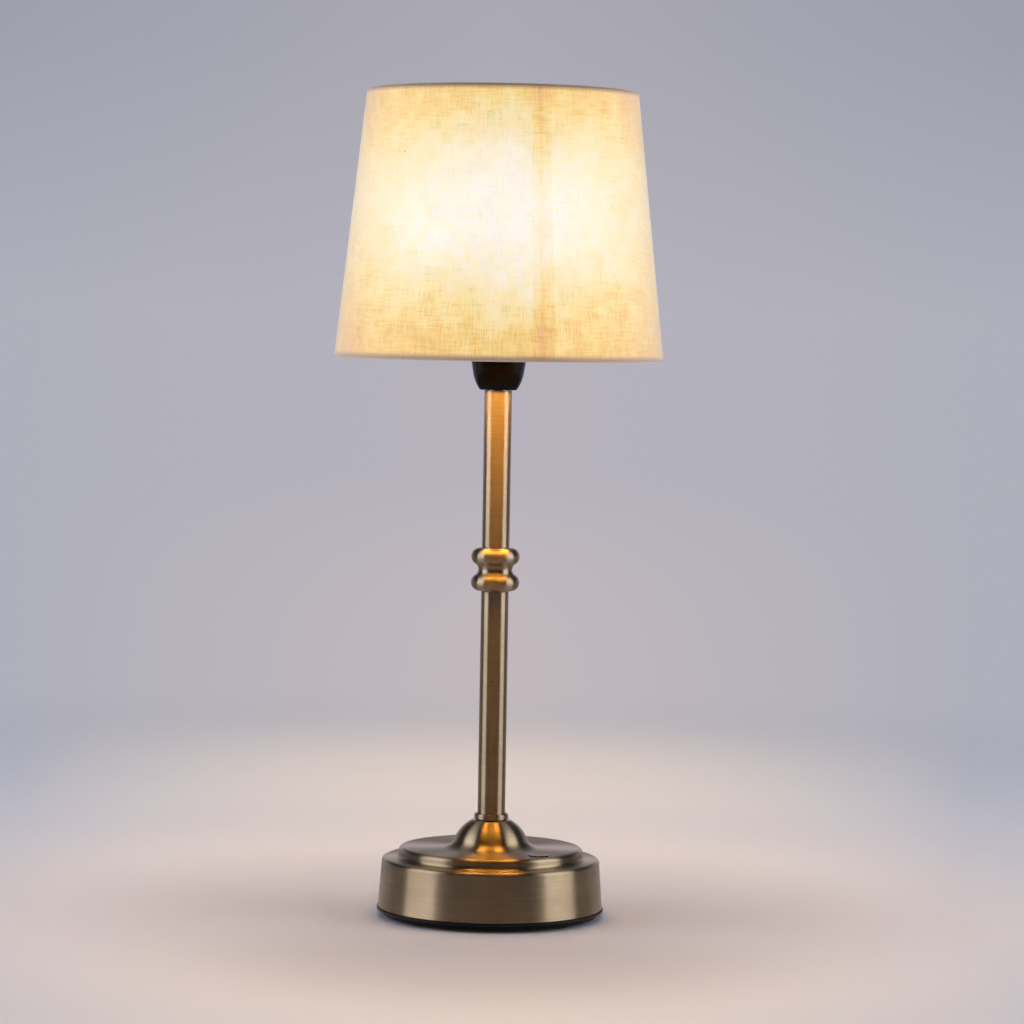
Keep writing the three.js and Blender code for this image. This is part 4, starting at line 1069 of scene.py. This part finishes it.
def floor_material():
    """A pale sweep: a real lit floor round the lamp, with painted shade and a painted pool of the bulb's
    light, which turns into the backdrop's colour further out.
    """
    g = material_graph("sweep")
    x, y = g.split(g.object_place())[:2]
    away = g.distance(x, y)
    far = g.span(away, 0.60, 1.05, 0.0, 1.0, True)
    width = g.plus(g.times(g.larger(y, 0.0), 0.127), 0.22)  # half the picture's width, at this depth
    aside = g.span(g.over(g.without_sign(x), width), 0.0, 1.0)
    grain = g.noise(g.object_place(), 900, 2, 0.5)
    stone = g.mix(g.span(grain, 0.3, 0.7), (0.705, 0.690, 0.735), (0.725, 0.710, 0.755))

    def shaded(factor, tint):
        return g.mix(factor, stone, g.tinted(stone, tint))

    # Painted shade: darker at the sides, a painted shadow round the base, painted shade in a wide ring, and a
    # painted shadow just before the base.
    stone = shaded(g.times(aside, aside), (0.86, 0.89, 0.95))
    stone = shaded(g.span(away, 0.09, 0.25, 1.0, 0.0, True), (0.74, 0.77, 0.84))
    stone = shaded(g.span(away, 0.22, 0.48, 1.0, 0.0, True), (0.92, 0.94, 0.96))
    before = g.distance(x, g.plus(y, 0.13))
    stone = shaded(g.span(before, 0.04, 0.15, 1.0, 0.0, True), (0.87, 0.865, 0.87))

    # The brass mirrors a darker floor than the camera sees.
    glossy = g.ray("Is Glossy Ray")
    near = g.span(away, 0.06, 0.30, 0.04, 0.60)
    mirrored = g.times(glossy, g.plus(near, g.span(away, 0.30, 0.60, 0.0, 0.2)))
    stone = g.mix(mirrored, stone, BLACK)

    # Painted light: the bulb's warm light, in the floor's emission, falls in a ring outside the shade's own
    # shadow.
    pool = g.ramp(g.span(away, 0.0, 1.05), [
        (0.0, BLACK),
        (0.18, (0.03, 0.02, 0.0)),
        (0.31, (0.10, 0.055, 0.008)),
        (0.40, (0.185, 0.105, 0.018)),
        (0.48, (0.21, 0.125, 0.022)),
        (0.57, (0.20, 0.118, 0.020)),
        (0.67, (0.155, 0.085, 0.014)),
        (0.80, (0.07, 0.038, 0.006)),
        (1.0, BLACK),
    ])
    pool = g.mix(g.power(aside, 1.5), pool, BLACK)
    paper = g.add("ShaderNodeBsdfPrincipled", {
        "Base Color": stone, "Roughness": 0.75, "Specular IOR Level": 0.25,
        "Emission Color": pool, "Emission Strength": 1.0,
    })
    # Further out the floor glows in the backdrop's colour, painted warmer and brighter nearer the lamp and
    # darker at the sides, and mirrored darker in front.
    warm = g.span(away, 0.9, 5.0, 1.0, 0.0, True)
    flat = g.mix(warm, BACKDROP, (0.545, 0.482, 0.500))
    flat = g.mix(aside, flat, (0.430, 0.432, 0.497))
    flat = g.mix(g.times(glossy, g.span(y, -0.4, 0.4, 0.75, 0.0)), flat, BLACK)
    glow = g.add("ShaderNodeEmission", {"Color": flat, "Strength": 1.0})
    return g.finished(g.add("ShaderNodeMixShader", {0: far, 1: paper.outputs[0], 2: glow.outputs[0]}))


def floor():
    """A wide round floor."""
    work = bmesh.new()
    bmesh.ops.create_circle(work, cap_ends=True, segments=96, radius=FLOOR_RADIUS)
    mesh = bpy.data.meshes.new("floor")
    work.to_mesh(mesh)
    work.free()
    obj = place("floor", mesh, floor_material())
    obj.location.z = FLOOR_Z


def world():
    """A pale cool backdrop, a dim room in front of it that only the metal mirrors, and a faint fill."""
    bpy.context.scene.world = bpy.data.worlds.new("studio")
    g = Graph(bpy.context.scene.world)
    x, y, z = g.split(g.add("ShaderNodeTexCoord").outputs["Generated"])
    # The backdrop, painted darker upwards and towards its sides, as painted shade.
    stops = [(0.0, BACKDROP), (0.45, (0.412, 0.400, 0.457)), (1.0, (0.350, 0.345, 0.415))]
    backdrop = g.ramp(g.span(z, 0.0, 0.16), stops)
    aside = g.span(g.without_sign(x), 0.0, 0.132)
    far_edge = g.mix(g.span(z, 0.0, 0.07), (0.915, 0.964, 0.984), (0.835, 0.890, 0.920))
    backdrop = g.tinted(backdrop, g.mix(aside, WHITE, far_edge))

    # What the brass mirrors: the backdrop itself, a bright low wall beside it, and a dim room.
    behind = g.over(y, g.larger(g.distance(x, y), 0.001))
    wall_height = g.times(g.span(z, 0.02, 0.10, 0.0, 1.0, True), g.span(z, 0.17, 0.32, 1.0, 0.0, True))
    low_wall = g.times(g.span(behind, 0.38, 0.85, 0.0, 1.75, True), wall_height)
    room = g.larger(g.span(behind, 0.86, 0.985, 0.0, 1.0, True), g.span(behind, -0.3, 0.4, 0.02, 0.10))
    room = g.larger(room, low_wall)
    warm = g.tinted(g.vector(room, room, room), g.mix(low_wall, WHITE, (1.14, 1.01, 0.88)))
    seen = g.tinted(backdrop, g.mix(g.ray("Is Glossy Ray"), WHITE, warm))
    mirrored = g.larger(g.ray("Is Glossy Ray"), g.ray("Is Transmission Ray"))
    colour = g.mix(g.larger(g.ray("Is Camera Ray"), mirrored), (0.12, 0.12, 0.135), seen)
    background = g.add("ShaderNodeBackground", {"Color": colour, "Strength": 1.0})
    g.finished(background, "ShaderNodeOutputWorld")


def add_light(name, kind, power, colour, where):
    """A light in the scene, with its power in watts."""
    data = bpy.data.lights.new(name, kind)
    data.energy = power
    data.color = colour
    obj = bpy.data.objects.new(name, data)
    obj.location = where
    bpy.context.scene.collection.objects.link(obj)
    return obj


def softbox(name, degrees, width, power, colour, mirrored):
    """A tall soft light beside the lamp, at an angle from the front. Metal shows it only if mirrored."""
    angle = math.radians(degrees)
    away = 1.05
    height = 0.36
    obj = add_light(name, "AREA", power, colour, (away * math.sin(angle), -away * math.cos(angle), height))
    obj.data.shape = "RECTANGLE"
    obj.data.size = width
    obj.data.size_y = 1.3
    middle_of_lamp = Vector((0, 0, 0.22))
    aim = middle_of_lamp - obj.location
    obj.rotation_euler = aim.to_track_quat("-Z", "Y").to_euler()
    obj.visible_camera = False
    obj.visible_glossy = mirrored


def ceiling(power):
    """A wide soft light overhead, for the floor."""
    obj = add_light("ceiling", "AREA", power, COOL, (0, 0.6, 2.0))
    obj.data.shape = "SQUARE"
    obj.data.size = 2.4
    obj.visible_camera = False
    obj.visible_glossy = False


def bulb_light(name, z, power, radius):
    """One of three warm lights that together stand for the bulb's long strips."""
    obj = add_light(name, "POINT", power, (1.0, 0.56, 0.12), (0, 0, z))
    obj.data.shadow_soft_size = radius


def camera():
    """The photograph's view, fitted to the rims of the shade and the base."""
    where = (0, -1.72984, 0.27926)
    pitch = math.radians(3.0634)
    yaw = math.radians(0.2400)
    roll = math.radians(-0.9621)
    data = bpy.data.cameras.new("camera")
    data.lens = 132.474
    data.sensor_width = 36
    obj = bpy.data.objects.new("camera", data)
    bpy.context.scene.collection.objects.link(obj)
    forward = Vector((math.sin(yaw) * math.cos(pitch), math.cos(yaw) * math.cos(pitch), -math.sin(pitch)))
    right = Vector((math.cos(yaw), -math.sin(yaw), 0))
    up = right.cross(forward)
    side = right * math.cos(roll) - up * math.sin(roll)
    top = right * math.sin(roll) + up * math.cos(roll)
    turn = Matrix((side, top, -forward)).transposed().to_4x4()
    obj.matrix_world = Matrix.Translation(where) @ turn
    bpy.context.scene.camera = obj


floor()
world()
softbox("soft_left", degrees=-77, width=0.73, power=7.6, colour=COOL, mirrored=True)
softbox("soft_right", degrees=77, width=0.73, power=7.6, colour=WARM, mirrored=True)
softbox("fill_left", degrees=-77, width=0.85, power=1.7, colour=COOL, mirrored=False)
softbox("fill_right", degrees=77, width=0.85, power=1.7, colour=WARM, mirrored=False)
ceiling(power=24.0)
bulb_light("bulb_low", z=0.2885, power=1.15, radius=0.014)
bulb_light("bulb_middle", z=0.313, power=0.60, radius=0.016)
bulb_light("bulb_high", z=0.335, power=0.45, radius=0.016)
camera()
bpy.context.scene.view_settings.view_transform = "Standard"
